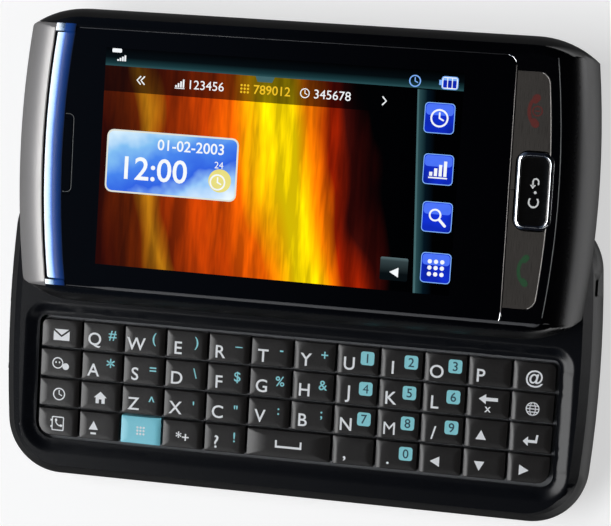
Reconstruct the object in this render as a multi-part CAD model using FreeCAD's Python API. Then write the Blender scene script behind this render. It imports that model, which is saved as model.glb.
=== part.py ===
import FreeCAD, Part
import math
import os

# Phone whose display half slides sideways off its keyboard half.
# It lies on its back: X runs along its length, Y across it, Z up through its thickness.
# The origin is the centre of the base's flat back.  At rest the display half stands open, towards +Y.

os.makedirs("parts", exist_ok=True)
V = FreeCAD.Vector
UP = V(0, 0, 1)

# ---------------------------------------------------------------- driving dimensions, mm
# clearances
fit_gap = 0.1             # between pieces that stay still
run_gap = 0.15            # between pieces that slide on each other
press_gap = 0.3           # under a key, button or mat that gets pressed, a little more than it travels

# base, the keyboard half
base_length = 111.2
base_width = 56.2
base_bow = 240.0          # radius of the bowed ends, seen from above
base_corner = 10.5
base_bottom_round = 4.2
base_top_bevel = 1.5
case_height = 7.2         # rear case, back to parting line
case_wall = 3.7
case_floor = 1.9
lip_wall = 1.0            # locating lip of the deck, inside the rear case
lip_depth = 1.6

# keyboard deck
deck_rise = 1.4           # deck above the parting line
deck_lean_end = 1.6
deck_lean_side = 0.45
dish_depth = 0.7          # the well round the keys
dish_rim = 2.9            # width of its slope
dish_slope = ((0.0, 1.0), (0.3, 0.88), (0.7, 0.22), (1.0, 0.0))   # shares of its width and depth

# keyboard
columns = 12
rows = 4
key_end_margin = 7.18     # from the ends of the base to the key grid
key_front_margin = 7.3    # from the near long side of the base to the key grid
keyboard_top = 1.64       # upper edge of the key grid
key_slit = 0.42           # slit between neighbouring keys
key_height = 1.8
key_crown = 0.45          # height of the leaning crown
key_sink = 0.3            # key tops below the deck
key_clip = 0.3            # clipped corner where the ridge ends, at the brim
ridge_lean = 1.05         # how far the crown leans in on the side that faces the middle
crown_lean = 0.25
ridge_clip = 1.3          # and at the top
grid_corners = (1.0, 1.0, 2.8, 2.0)   # corners of the whole grid, anticlockwise from the far right

# under the keys
mat_thickness = 0.7
mat_plunger = 0.4
mat_margin = 0.5
mat_end_margin = 1.5      # mat past the key grid, near and far side
mat_corner = 4.0
plunger_length = 3.0
plunger_width = 2.0
board_thickness = 1.0
can_places = ((-0.37, -0.12), (-0.09, 0.11), (0.135, 0.37))   # shares of the base's length
can_from_keys = 5.0
can_side_margin = 3.0
can_bevel = 0.3

# battery and its cover
battery_from_end = 17.6   # left end of the base to the battery
battery_from_camera = 15.5   # battery to the middle of the camera
battery_side_margin = 9.8
battery_corner = 1.2
cover_overlap = 5.5       # battery cover past the battery's ends
cover_side_overlap = 3.5
cover_thickness = 0.9
cover_corner = 3.0
cover_tongue = 0.7        # height of the cover's tongues
tongue_length = 4.0
tongue_width = 0.8
tongue_place = 0.1        # share of the battery's length, from either end
thumb_hollow = 20.0       # radius of the hollow for the thumb
thumb_hollow_depth = 0.4
thumb_hollow_width = 14.0

# camera, loudspeaker, case screws
camera_from_screws = 8.0
camera_from_side = 15.8   # far long side to the middle of the camera
camera_turret = 4.3
camera_body = 9.4
lens_radius = 2.6
lens_bottom_radius = 1.5
lens_depth = 0.8
speaker_from_screws = 6.0
speaker_from_side = 16.8  # near long side to the middle of the loudspeaker
speaker_length = 15.0
speaker_width = 10.0
speaker_corner = 2.5
speaker_slots = 4
slot_width = 0.8
screw_from_end = 10.1
screw_from_side = 8.0
screw_head = 1.5
screw_head_height = 0.8
screw_recess = 0.5
screw_shank = 0.75
post_size = 4.4           # square posts: round the screws, and plain ones at the near side
post_from_side = 8.3      # plain posts

# microphone slit in the right-hand shoulder
microphone_y = 15.45
microphone_length = 2.9
microphone_width = 0.45
microphone_depth = 1.6

# side buttons on the far long side of the base
button_low = 3.7
button_high = 6.2
button_proud = 0.4
button_depth = 3.0
button_edge = 0.35
rocker_x = -17.0
rocker_length = 14.0
camera_key_x = 27.0
camera_key_length = 10.0

# data port and its cover, on the left end of the base
port_y = -3.5
port_cover_length = 11.6
port_cover_height = 2.6
port_drop = 0.3           # port below the middle of the board
port_cover_depth = 1.4
port_plug_length = 8.0
port_plug_height = 1.4
port_plug_depth = 1.3
socket_length = 7.8
socket_height = 2.2
socket_depth = 5.5
socket_wall = 0.4
port_pin = 0.5
port_nub = 0.3            # grip nub, proud of the end wall
port_nub_length = 1.0
port_nub_margin = 0.6     # below and above it

# slide
slide_travel = 32.6
slide_air = 0.25          # air between the two halves
carriage_length = 72.0
carriage_margin = 2.7     # carriage plate to the well, and to the far edge of the deck
carriage_side_margin = 1.1
carriage_thickness = 0.75
carriage_sink = 0.05
runner_x = 30.0
runner_neck = 2.9
runner_head = 5.2
runner_head_height = 0.9
slide_plate_thickness = 0.9
slide_plate_length = 76.0
slide_plate_wall = 0.7    # back case outside the slide plate
slot_end_web = 0.95
small_clip = 0.6          # clipped corners of runners, slots and plates

# display half
slider_height = 7.05
slider_side_margin = 1.3  # display half narrower than the base, each side
side_round = 17.0         # plan radius of the long sides where they run out to the ends
side_round_margin = 14.6  # from the ends of the base to where that radius begins
shoulder_radius = 5.0     # rounding of the long shoulders
shoulder_crown = 0.45     # the rounding starts this much above the flat top
panel_margin = 8.5        # from the ends of the base to the flat top's edges
panel_bow = 172.0
end_reach = 6.4           # the end slope runs this far out
end_round = 8.0           # radius of the end slope, seen from the side
back_edge = 0.65          # visible edge of the slider's back case
back_block = 2.85         # height of the back case
inner_wall = 1.7
inner_end_wall = 3.5
inner_corner = 8.0

# front
window_left_margin = 3.7  # from the flat top's left edge
window_right_margin = 8.8
window_side_margin = 3.35 # from the long sides
window_corner = 2.6
window_thickness = 1.2
ledge = 1.4
strip_thickness = 0.9
strip_fall = 0.45
strip_inset = 0.35        # strip inside the long shoulders
cap_side_margin = 2.8     # from the long sides
cap_gap = 0.2             # between cap and chrome strip
display_left_margin = 4.9 # from the window's edges
display_right_margin = 6.8
display_low_margin = 2.55
display_high_margin = 1.75
display_thickness = 1.8
earpiece_length = 13.6
earpiece_width = 1.7
earpiece_spout = 1.2
receiver_length = 11.0
receiver_width = 6.3
receiver_thickness = 0.8
earpiece_sink = 0.05

# keys on the front
rib = 0.3                 # rib between the window and the front keys
front_key_margin = 1.6    # from the flat top's right edge to the end and send keys
front_key_side_margin = 6.0
front_key_corner = 2.2
front_key_seam = 0.12
front_key_height = 1.3
front_key_air = 0.1
clear_key_air = 0.3       # running gap from the clear key to the end and send keys
clear_key_width = 6.5
clear_key_margin = 0.95   # from the flat top's right edge
clear_key_length = 13.6
clear_key_corner = 2.0
clear_key_proud = 0.15
clear_key_bevel = 0.2
clear_key_rim = 0.8
clear_key_dip = 0.25

# parts inside the display half
spring_wire = 0.35
spring_reach = 17.0
spring_height = 17.0
spring_bend = 3.0
spring_margin = 3.0
flex_width = 12.0
flex_thickness = 0.15
flex_length = 16.0
beyond = 80.0             # farther out than any piece reaches

# ---------------------------------------------------------------- levels worked out from them
half_length = base_length / 2
half_width = base_width / 2
key_pitch_x = (base_length - 2 * key_end_margin) / columns
keyboard_bottom = key_front_margin - half_width
key_pitch_y = (keyboard_top - keyboard_bottom) / rows
deck_top = case_height + deck_rise
key_top = deck_top - key_sink
key_bottom = key_top - key_height
mat_top = key_bottom - press_gap
mat_bottom = mat_top - mat_thickness
board_top = mat_bottom - mat_plunger
board_bottom = board_top - board_thickness
battery_bottom = cover_thickness + run_gap
battery_top = board_bottom - run_gap
grid_half = half_length - key_end_margin
screw_x = half_length - screw_from_end
screw_y = half_width - screw_from_side
post_y = post_from_side - half_width
camera_x = screw_x - camera_from_screws
camera_y = half_width - camera_from_side
speaker_x = screw_x - speaker_from_screws
speaker_y = speaker_from_side - half_width
battery_left = battery_from_end - half_length
battery_right = camera_x - battery_from_camera
battery_length = battery_right - battery_left
battery_width = base_width - 2 * battery_side_margin
port_middle = (board_bottom + board_top) / 2 - port_drop
port_low = port_middle - port_cover_height / 2
port_high = port_middle + port_cover_height / 2

slider_bottom = deck_top + slide_air
slider_top = slider_bottom + slider_height
plate_bottom = slider_bottom + fit_gap
plate_top = plate_bottom + slide_plate_thickness
head_bottom = plate_top + fit_gap
head_top = head_bottom + runner_head_height
back_block_top = slider_bottom + back_block
skirt_bottom = slider_bottom + back_edge
window_bottom = slider_top - window_thickness
display_bottom = window_bottom - display_thickness
cavity_step = display_bottom - press_gap
slider_side = half_width - slider_side_margin
panel_edge = half_length - panel_margin
bow_axis = panel_edge - panel_bow
side_round_x = half_length - side_round_margin
window_left = window_left_margin - panel_edge
window_right = panel_edge - window_right_margin
window_side = slider_side - window_side_margin
front_key_edge = panel_edge - front_key_margin
front_key_reach = slider_side - front_key_side_margin
clear_key_right = panel_edge - clear_key_margin
clear_key_left = clear_key_right - clear_key_width
slide_plate_side = slider_side - inner_wall - slide_plate_wall - 2 * fit_gap
slot_reach = slide_plate_side - slot_end_web
runner_y = slide_travel / 2
runner_length = 2 * (slot_reach - run_gap) - slide_travel
carriage_low = keyboard_top + key_slit + dish_rim + carriage_margin
carriage_high = half_width - base_top_bevel - deck_lean_side - carriage_side_margin
front_key_bottom = slider_top - front_key_height
front_key_floor = front_key_bottom - press_gap
screw_end = case_height - 2 * press_gap
carriage_bottom = deck_top - carriage_sink - carriage_thickness


# ---------------------------------------------------------------- shared shapes
def box(x0, x1, y0, y1, z0, z1):
    return Part.makeBox(x1 - x0, y1 - y0, z1 - z0, V(x0, y0, z0))


def slab(z0, z1):
    """Everything between two heights."""
    return box(-beyond, beyond, -beyond, beyond, z0, z1)


def rod(radius, x, y, z0, z1):
    return Part.makeCylinder(radius, z1 - z0, V(x, y, z0))


def arc(start, middle, end):
    return Part.Arc(start, middle, end).toShape()


def line(start, end):
    return Part.LineSegment(start, end).toShape()


def pad(wire, height):
    """Solid between a flat wire and the same wire raised by height."""
    return Part.Face(wire).extrude(UP * height)


def rounded(x0, x1, y0, y1, z, corners):
    """Rectangle with worked corners, anticlockwise from the corner (x1, y1).
    A positive number is a radius, a negative one a straight clip, and 0 leaves the corner sharp."""
    places = ((x1, y1, -1, -1), (x0, y1, 1, -1), (x0, y0, 1, 1), (x1, y0, -1, 1))
    turns = []
    for number, ((x, y, inward_x, inward_y), corner) in enumerate(zip(places, corners)):
        reach = abs(corner)
        ends = [V(x, y + inward_y * reach, z), V(x + inward_x * reach, y, z)]
        if number % 2:
            ends.reverse()
        bulge = reach * (1 - math.sqrt(0.5))
        turns.append((corner, ends, V(x + inward_x * bulge, y + inward_y * bulge, z)))
    edges = []
    for (corner, ends, middle), (_, following, _) in zip(turns, turns[1:] + turns[:1]):
        if corner > 0:
            edges.append(arc(ends[0], middle, ends[1]))
        if corner < 0:
            edges.append(line(*ends))
        edges.append(line(ends[1], following[0]))
    return Part.Wire(edges)


def tapered(lower, upper):
    """Solid between two flat wires with matching edges: flat faces between straight edges,
    cones between arcs round one centre."""
    faces = [Part.Face(lower), Part.Face(upper)]
    for low, high in zip(lower.Edges, upper.Edges):
        a, b = [v.Point for v in low.Vertexes]
        c, d = [v.Point for v in high.Vertexes]
        if low.Curve.TypeId == "Part::GeomLine":
            faces.append(Part.Face(Part.makePolygon([a, b, d, c, a])))
        elif (low.Curve.Center - high.Curve.Center).cross(UP).Length < 1e-6:
            turn = math.degrees(low.Length / low.Curve.Radius)
            faces.append(line(a, c).revolve(low.Curve.Center, UP, turn))
        else:
            faces.append(Part.makeRuledSurface(low, high))
    shell = Part.makeShell(faces)
    shell.sewShape()
    return Part.makeSolid(shell)


def clipped(x0, x1, y0, y1, z, clip):
    return rounded(x0, x1, y0, y1, z, 4 * [-clip])


def barrel(reach, width, bow, corner, z):
    """Outline with straight long sides, ends bowed to one large arc, and rounded corners."""
    bow_x = reach - bow
    corner_y = width - corner
    corner_x = bow_x + math.sqrt((bow - corner) ** 2 - corner_y ** 2)
    outward = V(corner_x - bow_x, corner_y, 0).normalize()
    centre = V(corner_x, corner_y, z)
    on_end = centre + outward * corner
    on_side = centre + V(0, corner, 0)
    middle = centre + (outward + V(0, 1, 0)).normalize() * corner

    def turned(point, x_sign, y_sign):
        return V(point.x * x_sign, point.y * y_sign, z)

    edges = []
    for x_sign, y_sign in ((1, 1), (-1, 1), (-1, -1), (1, -1)):
        corner_arc = [turned(p, x_sign, y_sign) for p in (on_end, middle, on_side)]
        edges.append(arc(*corner_arc))
    for y_sign in (1, -1):
        edges.append(line(turned(on_side, 1, y_sign), turned(on_side, -1, y_sign)))
    for x_sign in (1, -1):
        tip = V(reach * x_sign, 0, z)
        edges.append(arc(turned(on_end, x_sign, 1), tip, turned(on_end, x_sign, -1)))
    return Part.Wire(Part.__sortEdges__(edges))


def edges_at(shape, z):
    """Edges that lie whole at one height."""
    return [e for e in shape.Edges if all(abs(v.Point.z - z) < 1e-6 for v in e.Vertexes)]


def upright_edges_near(shape, x, y, reach):
    """Vertical edges that stand within reach of a point seen from above."""
    found = []
    for edge in shape.Edges:
        ends = [v.Point for v in edge.Vertexes]
        if len(ends) == 2 and math.hypot(ends[0].x - ends[1].x, ends[0].y - ends[1].y) < 1e-6:
            if math.hypot(ends[0].x - x, ends[0].y - y) < reach:
                found.append(edge)
    return found


def open_slide(shape):
    """Moves a piece of the display half from the closed place, where it is drawn, to the open one."""
    return shape.translated(V(0, slide_travel, 0))


def save(name, shape):
    shape.exportStep("parts/" + name + ".step")


# ---------------------------------------------------------------- base: outside and rear case
def base_outside():
    """Outer form of the rear case, rounded underneath and bevelled towards the deck."""
    body = pad(barrel(half_length, half_width, base_bow, base_corner, 0), case_height)
    body = body.makeFillet(base_bottom_round, edges_at(body, 0))
    return body.makeChamfer(base_top_bevel, edges_at(body, case_height))


def button_pocket(x, length, gap):
    """Space of a side button on the far side of the base; gap 0 gives the button's own place."""
    deep = button_depth + (press_gap if gap else 0)
    outer = half_width + button_proud
    return box(x - length / 2 - gap, x + length / 2 + gap, outer - deep, outer + 1,
               button_low - gap, button_high + gap)


def port_pivot():
    """Where the pin of the port cover stands: flush with the end wall, past the cover."""
    y = port_y + port_cover_length / 2 + port_pin
    x = -(half_length - base_bow + math.sqrt(base_bow ** 2 - y ** 2)) + port_pin
    return x, y


def port_space(gap):
    """Space of the port cover in the end wall; gap 0 gives the cover's own place."""
    inner = -half_length + port_cover_depth
    y0 = port_y - port_cover_length / 2
    pin_x, pin_y = port_pivot()
    plate = box(-half_length - 1, inner, y0 - gap, pin_y, port_low - gap, port_high + gap)
    swing = port_cover_depth - port_pin + gap if gap else port_pin
    return plate.fuse(rod(swing, pin_x, pin_y, port_low - gap, port_high + gap))


def port_plug(gap):
    """The plug on the cover's inside, or with a gap the port's mouth, which also lets the plug swing."""
    inner = -half_length + port_cover_depth
    reach = -half_length + case_wall + 1 if gap else inner + port_plug_depth
    return box(inner, reach, port_y - port_plug_length / 2 - 3 * gap, port_y + port_plug_length / 2 + gap,
               port_middle - port_plug_height / 2 - gap, port_middle + port_plug_height / 2 + gap)


def cover_wire(gap, z):
    """Outline of the battery cover, or with a gap the outline of its pocket."""
    side = battery_width / 2 + cover_side_overlap + gap
    return rounded(battery_left - cover_overlap - gap, battery_right + cover_overlap + gap,
                   -side, side, z, 4 * [cover_corner + gap])


def cover_tongues(gap):
    """Four tongues that locate the battery cover in the floor of the rear case."""
    tongues = []
    side = (battery_width + cover_side_overlap) / 2
    half = tongue_length / 2 + gap
    thick = tongue_width / 2 + gap
    inward = battery_length * tongue_place
    for x in (battery_left + inward, battery_right - inward):
        for y in (-side, side):
            tongues.append(box(x - half, x + half, y - thick, y + thick,
                               cover_thickness - gap, cover_thickness + cover_tongue + gap))
    return tongues


def battery_box(gap, z0, z1):
    return box(battery_left - gap, battery_right + gap,
               -battery_width / 2 - gap, battery_width / 2 + gap, z0, z1)


def screw_places():
    return [(x, screw_y) for x in (-screw_x, screw_x)]


def post(x, y, z0, z1, gap=0):
    half = post_size / 2 + gap
    return box(x - half, x + half, y - half, y + half, z0, z1)


def speaker_slits():
    """Slits in the floor under the loudspeaker."""
    slits = []
    step = speaker_width / speaker_slots
    for n in range(speaker_slots):
        y = speaker_y + (n - (speaker_slots - 1) / 2) * step
        slits.append(box(speaker_x - speaker_length / 3, speaker_x + speaker_length / 3,
                         y - slot_width / 2, y + slot_width / 2, -1, case_floor + 1))
    return slits


def rear_case():
    """Rear case of the base: a tray with the battery bay, pockets for the side buttons and the port."""
    cavity = pad(barrel(half_length - case_wall, half_width - case_wall - fit_gap, base_bow,
                        base_corner - case_wall, case_floor), case_height)
    case = base_outside().cut(cavity)
    posts = [post(x, screw_y, case_floor - 0.5, board_top) for x in (-screw_x, screw_x)]
    posts += [post(x, post_y, case_floor - 0.5, board_bottom) for x in (-screw_x, screw_x)]
    case = case.fuse(posts)
    cuts = [pad(cover_wire(run_gap, 0), cover_thickness)]
    cuts.append(battery_box(run_gap, 0, case_floor + 1))
    cuts += cover_tongues(run_gap)
    cuts.append(rod(camera_turret + press_gap, camera_x, camera_y, -1, case_floor + 1))
    cuts += speaker_slits()
    for x, y in screw_places():
        cuts.append(rod(screw_head + run_gap, x, y, -1, screw_head_height + run_gap))
        cuts.append(rod(screw_shank + run_gap, x, y, 0, board_top + 1))
    cuts.append(button_pocket(rocker_x, rocker_length, run_gap))
    cuts.append(button_pocket(camera_key_x, camera_key_length, run_gap))
    cuts.append(port_space(run_gap))
    cuts.append(port_plug(run_gap))
    return case.cut(cuts)


def microphone_slit():
    """Slit in the right-hand shoulder of the rear case, in front of the microphone."""
    x = half_length - base_top_bevel - microphone_width / 2
    return box(x, x + microphone_width, microphone_y - microphone_length / 2,
               microphone_y + microphone_length / 2, case_height - microphone_depth, case_height + 1)


def battery_cover():
    """Clip-on cover, flush with the back, with a shallow thumb hollow near one end."""
    cover = pad(cover_wire(0, 0), cover_thickness)
    cover = cover.fuse(cover_tongues(0))
    axis_end = V(battery_right - 2, -thumb_hollow_width / 2, thumb_hollow_depth - thumb_hollow)
    return cover.cut(Part.makeCylinder(thumb_hollow, thumb_hollow_width, axis_end, V(0, 1, 0)))


def battery():
    cell = battery_box(0, battery_bottom, battery_top)
    upright = [e for e in cell.Edges if abs(e.Vertexes[0].Z - e.Vertexes[1].Z) > 1]
    return cell.makeFillet(battery_corner, upright)


def port_cover():
    """Cover of the data port: follows the end wall, with a plug inside, a pin and a grip nub."""
    cover = base_outside().common(port_space(0))
    y0 = port_y - port_cover_length / 2
    reach = -(half_length - base_bow + math.sqrt(base_bow ** 2 - y0 ** 2))
    nub = box(reach - port_nub, reach + 0.5, y0 + fit_gap, y0 + fit_gap + port_nub_length,
              port_low + port_nub_margin, port_high - port_nub_margin)
    return cover.fuse([port_plug(0), nub]).removeSplitter()


def side_button(x, length, pivot):
    """Side button that follows the case wall; a rocker has a pivot rib on its inner face."""
    outer = half_width + button_proud
    button = button_pocket(x, length, 0).common(box(-half_length, half_length, 0, outer, 0, case_height))
    corners = upright_edges_near(button, x - length / 2, outer, 0.1)
    corners += upright_edges_near(button, x + length / 2, outer, 0.1)
    button = button.makeFillet(button_edge, corners)
    if pivot:
        inner = outer - button_depth
        button = button.fuse(rod(press_gap - 0.02, x, inner, button_low, button_high))
    return button


# ---------------------------------------------------------------- base: deck, keys and what is under them
def deck_outline(lean, z):
    return barrel(half_length - base_top_bevel - lean * deck_lean_end,
                  half_width - base_top_bevel - lean * deck_lean_side,
                  base_bow, base_corner - base_top_bevel - lean, z)


def key_grid_wire(margin, z):
    """Outline round the whole key grid, with its own radius at each corner."""
    radii = [corner + margin for corner in grid_corners]
    return rounded(-grid_half - margin, grid_half + margin, keyboard_bottom - margin,
                   keyboard_top + margin, z, radii)


def keyboard_deck():
    """Deck of the base: dished well round the keys, key opening, pocket for the slide carriage."""
    deck = Part.makeLoft([deck_outline(0, case_height), deck_outline(1, deck_top)], True, True)
    rings = [key_grid_wire(key_slit + dish_rim * out, deck_top - dish_depth * down)
             for out, down in dish_slope]
    deck = deck.cut(Part.makeLoft(rings, True, False))
    lip_reach = half_length - case_wall - fit_gap
    lip_side = half_width - case_wall - 2 * fit_gap
    lip_corner = base_corner - case_wall
    lip = pad(barrel(lip_reach, lip_side, base_bow, lip_corner, case_height - lip_depth), lip_depth)
    hollow = pad(barrel(lip_reach - lip_wall, lip_side - lip_wall, base_bow, lip_corner - lip_wall,
                        case_height - lip_depth), lip_depth)
    deck = deck.fuse(lip.cut(hollow))
    deck = deck.fuse([post(x, y, board_top, case_height + 0.2) for x, y in screw_places()])
    cuts = [pad(key_grid_wire(key_slit, case_height - 1), deck_rise + 2)]
    cuts.append(pad(carriage_wire(run_gap, carriage_bottom), carriage_thickness + 1))
    cuts += [rod(screw_shank + 0.03, x, y, board_top, screw_end + press_gap) for x, y in screw_places()]
    return deck.cut(cuts)


def keycap(column, row, width, ridge_side, corners, bottom):
    """One key: straight skirt and a crown that leans in most on the side facing the keyboard's middle."""
    x0 = -grid_half + column * key_pitch_x + key_slit / 2
    x1 = x0 + width * key_pitch_x - key_slit
    y1 = keyboard_top - row * key_pitch_y - key_slit / 2
    y0 = y1 - key_pitch_y + key_slit
    brim_height = key_top - key_crown
    lean_right = ridge_lean if ridge_side > 0 else crown_lean
    lean_left = ridge_lean if ridge_side < 0 else crown_lean
    brim_corners = list(corners)
    top_corners = list(corners)
    ridge = 0 if ridge_side > 0 else 1
    brim_corners[ridge] = max(corners[ridge], 0) or -key_clip
    top_corners[ridge] = max(corners[ridge], 0) or -ridge_clip
    skirt = pad(rounded(x0, x1, y0, y1, bottom, brim_corners), brim_height - bottom)
    brim = rounded(x0, x1, y0, y1, brim_height, brim_corners)
    top = rounded(x0 + lean_left, x1 - lean_right, y0 + crown_lean, y1 - crown_lean, key_top, top_corners)
    return skirt.fuse(tapered(brim, top)).removeSplitter()


def key_at(column, row, width=1, bottom=key_bottom):
    """Keys left of the middle have their ridge on the right, the others on the left."""
    ridge_side = 1 if column + width / 2 <= columns / 2 else -1
    last = column + width == columns
    at_corner = (row == 0 and last, row == 0 and column == 0,
                 row == rows - 1 and column == 0, row == rows - 1 and last)
    corners = [radius if here else 0 for radius, here in zip(grid_corners, at_corner)]
    return keycap(column, row, width, ridge_side, corners, bottom)


def moving_keys():
    """Letters, space, enter, delete and the four arrows: each is a piece of its own."""
    keys = {}
    for letters, first_column, row in (("qwertyuiop", 1, 0), ("asdfghjkl", 1, 1), ("zxcvbnm", 2, 2)):
        for n, letter in enumerate(letters):
            keys["key_" + letter] = key_at(first_column + n, row)
    keys["key_delete"] = key_at(10, 1)
    keys["key_up"] = key_at(10, 2)
    keys["key_enter"] = key_at(11, 2)
    keys["key_space"] = key_at(5, 3, 2)
    keys["key_left"] = key_at(9, 3)
    keys["key_down"] = key_at(10, 3)
    keys["key_right"] = key_at(11, 3)
    return keys


def function_keys():
    """The other keys of the grid, such as mail and symbols, moulded down to the mat."""
    places = [(0, row) for row in range(rows)]
    places += [(11, 0), (11, 1), (1, 2), (9, 2)]
    places += [(column, 3) for column in (1, 2, 3, 4, 7, 8)]
    return [key_at(column, row, 1, mat_top) for column, row in places]


def key_mat():
    """Silicone mat under the keys, with one plunger per key."""
    reach = grid_half + mat_margin
    mat = pad(rounded(-reach, reach, keyboard_bottom - mat_end_margin, keyboard_top + mat_end_margin,
                      mat_bottom, 4 * [mat_corner]), mat_thickness)
    plungers = []
    for row in range(rows):
        for column in range(columns):
            x = -grid_half + (column + 0.5) * key_pitch_x
            y = keyboard_top - (row + 0.5) * key_pitch_y
            plungers.append(box(x - plunger_length / 2, x + plunger_length / 2, y - plunger_width / 2,
                                y + plunger_width / 2, board_top, mat_bottom))
    return mat.fuse(plungers)


def main_board():
    """Circuit board with shield cans and the data socket."""
    reach = half_length - case_wall - lip_wall - 2 * fit_gap
    side = half_width - case_wall - lip_wall - 3 * fit_gap
    board = pad(barrel(reach, side, base_bow, base_corner - case_wall - lip_wall, board_bottom),
                board_thickness)
    cans = []
    can_top = case_height - press_gap
    for x0, x1 in can_places:
        can = box(x0 * base_length, x1 * base_length, keyboard_top + can_from_keys, side - can_side_margin,
                  board_top, can_top)
        cans.append(can.makeChamfer(can_bevel, edges_at(can, can_top)))
    socket_x = -half_length + case_wall + press_gap
    half = socket_length / 2
    socket = box(socket_x, socket_x + socket_depth, port_y - half, port_y + half,
                 port_middle - socket_height / 2, port_middle + socket_height / 2)
    half = half - socket_wall
    mouth = box(socket_x - 1, socket_x + socket_depth - 1, port_y - half, port_y + half,
                port_middle - socket_height / 2 + socket_wall, port_middle + socket_height / 2 - socket_wall)
    board = board.fuse(cans + [socket]).cut(mouth)
    return board.cut([post(x, y, 0, case_height, press_gap) for x, y in screw_places()])


def camera_module():
    """Camera: round turret behind the back's opening, with the lens hollow, on a square body."""
    body = box(camera_x - camera_body / 2, camera_x + camera_body / 2, camera_y - camera_body / 2,
               camera_y + camera_body / 2, case_floor, board_bottom)
    turret = rod(camera_turret, camera_x, camera_y, press_gap, case_floor)
    lens = Part.makeCone(lens_radius, lens_bottom_radius, lens_depth, V(camera_x, camera_y, press_gap), UP)
    return body.fuse(turret).cut(lens)


def loudspeaker():
    capsule = box(speaker_x - speaker_length / 2, speaker_x + speaker_length / 2,
                  speaker_y - speaker_width / 2, speaker_y + speaker_width / 2, case_floor, board_bottom)
    upright = [e for e in capsule.Edges if abs(e.Vertexes[0].Z - e.Vertexes[1].Z) > 1]
    return capsule.makeFillet(speaker_corner, upright)


def case_screws():
    """Slotted screws, from the back through the case's posts into those of the deck."""
    screws = []
    seat = screw_head_height + run_gap
    for x, y in screw_places():
        screw = rod(screw_head, x, y, run_gap, seat).fuse(rod(screw_shank, x, y, seat, screw_end))
        screws.append(screw.cut(box(x - 2, x + 2, y - screw_recess / 2, y + screw_recess / 2,
                                    run_gap, run_gap + screw_recess)))
    return screws


# ---------------------------------------------------------------- slide mechanism
def carriage_wire(gap, z):
    return clipped(-carriage_length / 2 - gap, carriage_length / 2 + gap, carriage_low - gap,
                   carriage_high + gap, z, 3 * small_clip)


def slide_carriage():
    """Plate let into the deck, with two T-shaped runners that hold the display half down."""
    top = deck_top - carriage_sink
    runners = []
    y0 = runner_y - runner_length / 2
    y1 = runner_y + runner_length / 2
    for x in (-runner_x, runner_x):
        neck = clipped(x - runner_neck / 2, x + runner_neck / 2, y0, y1, carriage_bottom, small_clip)
        head = clipped(x - runner_head / 2, x + runner_head / 2, y0, y1, head_bottom, small_clip)
        runners.append(pad(neck, head_bottom - carriage_bottom))
        runners.append(pad(head, runner_head_height))
    return pad(carriage_wire(0, carriage_bottom), top - carriage_bottom).fuse(runners)


def slide_slot(x, width, z, height):
    """Room for one runner's whole path, in the display half's own place."""
    half = width / 2 + run_gap
    return pad(clipped(x - half, x + half, -slot_reach, slot_reach, z, small_clip), height)


def slide_plate():
    """Steel plate on the display half, with one straight slot for each runner."""
    plate = pad(clipped(-slide_plate_length / 2, slide_plate_length / 2, -slide_plate_side,
                        slide_plate_side, plate_bottom, 3 * small_clip), slide_plate_thickness)
    return plate.cut([slide_slot(x, runner_neck, 0, slider_top) for x in (-runner_x, runner_x)])


def slide_spring():
    """Spring of the slide, square wire: two straight legs from a bend in the middle."""
    z = plate_top + fit_gap
    centre = V(0, spring_height / 2 - spring_bend, z)
    foot = V(spring_reach, -spring_height / 2, z)
    leg = foot - centre
    lean = math.atan2(leg.y, leg.x) + math.acos(spring_bend / leg.Length)
    touch = centre + V(math.cos(lean), math.sin(lean), 0) * spring_bend
    far_touch = V(-touch.x, touch.y, z)
    far_foot = V(-foot.x, foot.y, z)
    path = Part.Wire([line(far_foot, far_touch), arc(far_touch, centre + V(0, spring_bend, 0), touch),
                      line(touch, foot)])
    return pad(path.makeOffset2D(spring_wire), 2 * spring_wire)


# ---------------------------------------------------------------- display half: outside
def turned_about_bow(face):
    """Turns an upright face on the middle line about the axis of the right-hand bow, past both long sides."""
    sweep = 2 * math.degrees(math.asin(slider_side / (panel_edge - bow_axis))) + 2
    axis = V(bow_axis, 0, 0)
    face.rotate(axis, UP, -sweep / 2)
    return face.revolve(axis, UP, sweep)


def side_block(inset):
    """Form between the two long shoulders, much longer than the phone; inset moves it inwards."""
    reach = side_round_x + side_round - inset
    side = slider_side - inset
    height = slider_height + shoulder_crown - inset
    wire = rounded(-reach, reach, -side, side, slider_bottom, 4 * [side_round - inset])
    block = pad(wire, height)
    return block.makeFillet(shoulder_radius - inset, edges_at(block, slider_bottom + height))


def end_ring():
    """What lies outside the right-hand end slope, as a turned ring."""
    drop = slider_height - back_edge + 0.1
    chord = V(end_reach, 0, -drop)
    middle = V(panel_edge, 0, slider_top) + chord * 0.5
    inward = V(-drop, 0, -end_reach).normalize()
    centre = middle + inward * math.sqrt(end_round ** 2 - (chord.Length / 2) ** 2)

    def on_slope(x):
        return V(x, 0, centre.z + math.sqrt(end_round ** 2 - (x - centre.x) ** 2))

    low = V(centre.x + math.sqrt(end_round ** 2 - 0.01), 0, centre.z - 0.1)
    high = on_slope(panel_edge)
    between = on_slope((low.x + high.x) / 2)
    top = slider_top + 2
    corners = [high, V(panel_edge, 0, top), V(beyond, 0, top), V(beyond, 0, low.z), low]
    edges = [line(a, b) for a, b in zip(corners, corners[1:])]
    edges.append(arc(low, between, high))
    return turned_about_bow(Part.Face(Part.Wire(edges)))


def mirrored(shape):
    return shape.mirror(V(0, 0, 0), V(1, 0, 0))


def slider_outside():
    """Outer form of the display half, closed place: long shoulders cut by two bowed end slopes."""
    body = side_block(0).common(slab(slider_bottom, slider_top))
    ring = end_ring()
    return body.cut([ring, mirrored(ring)])


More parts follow.
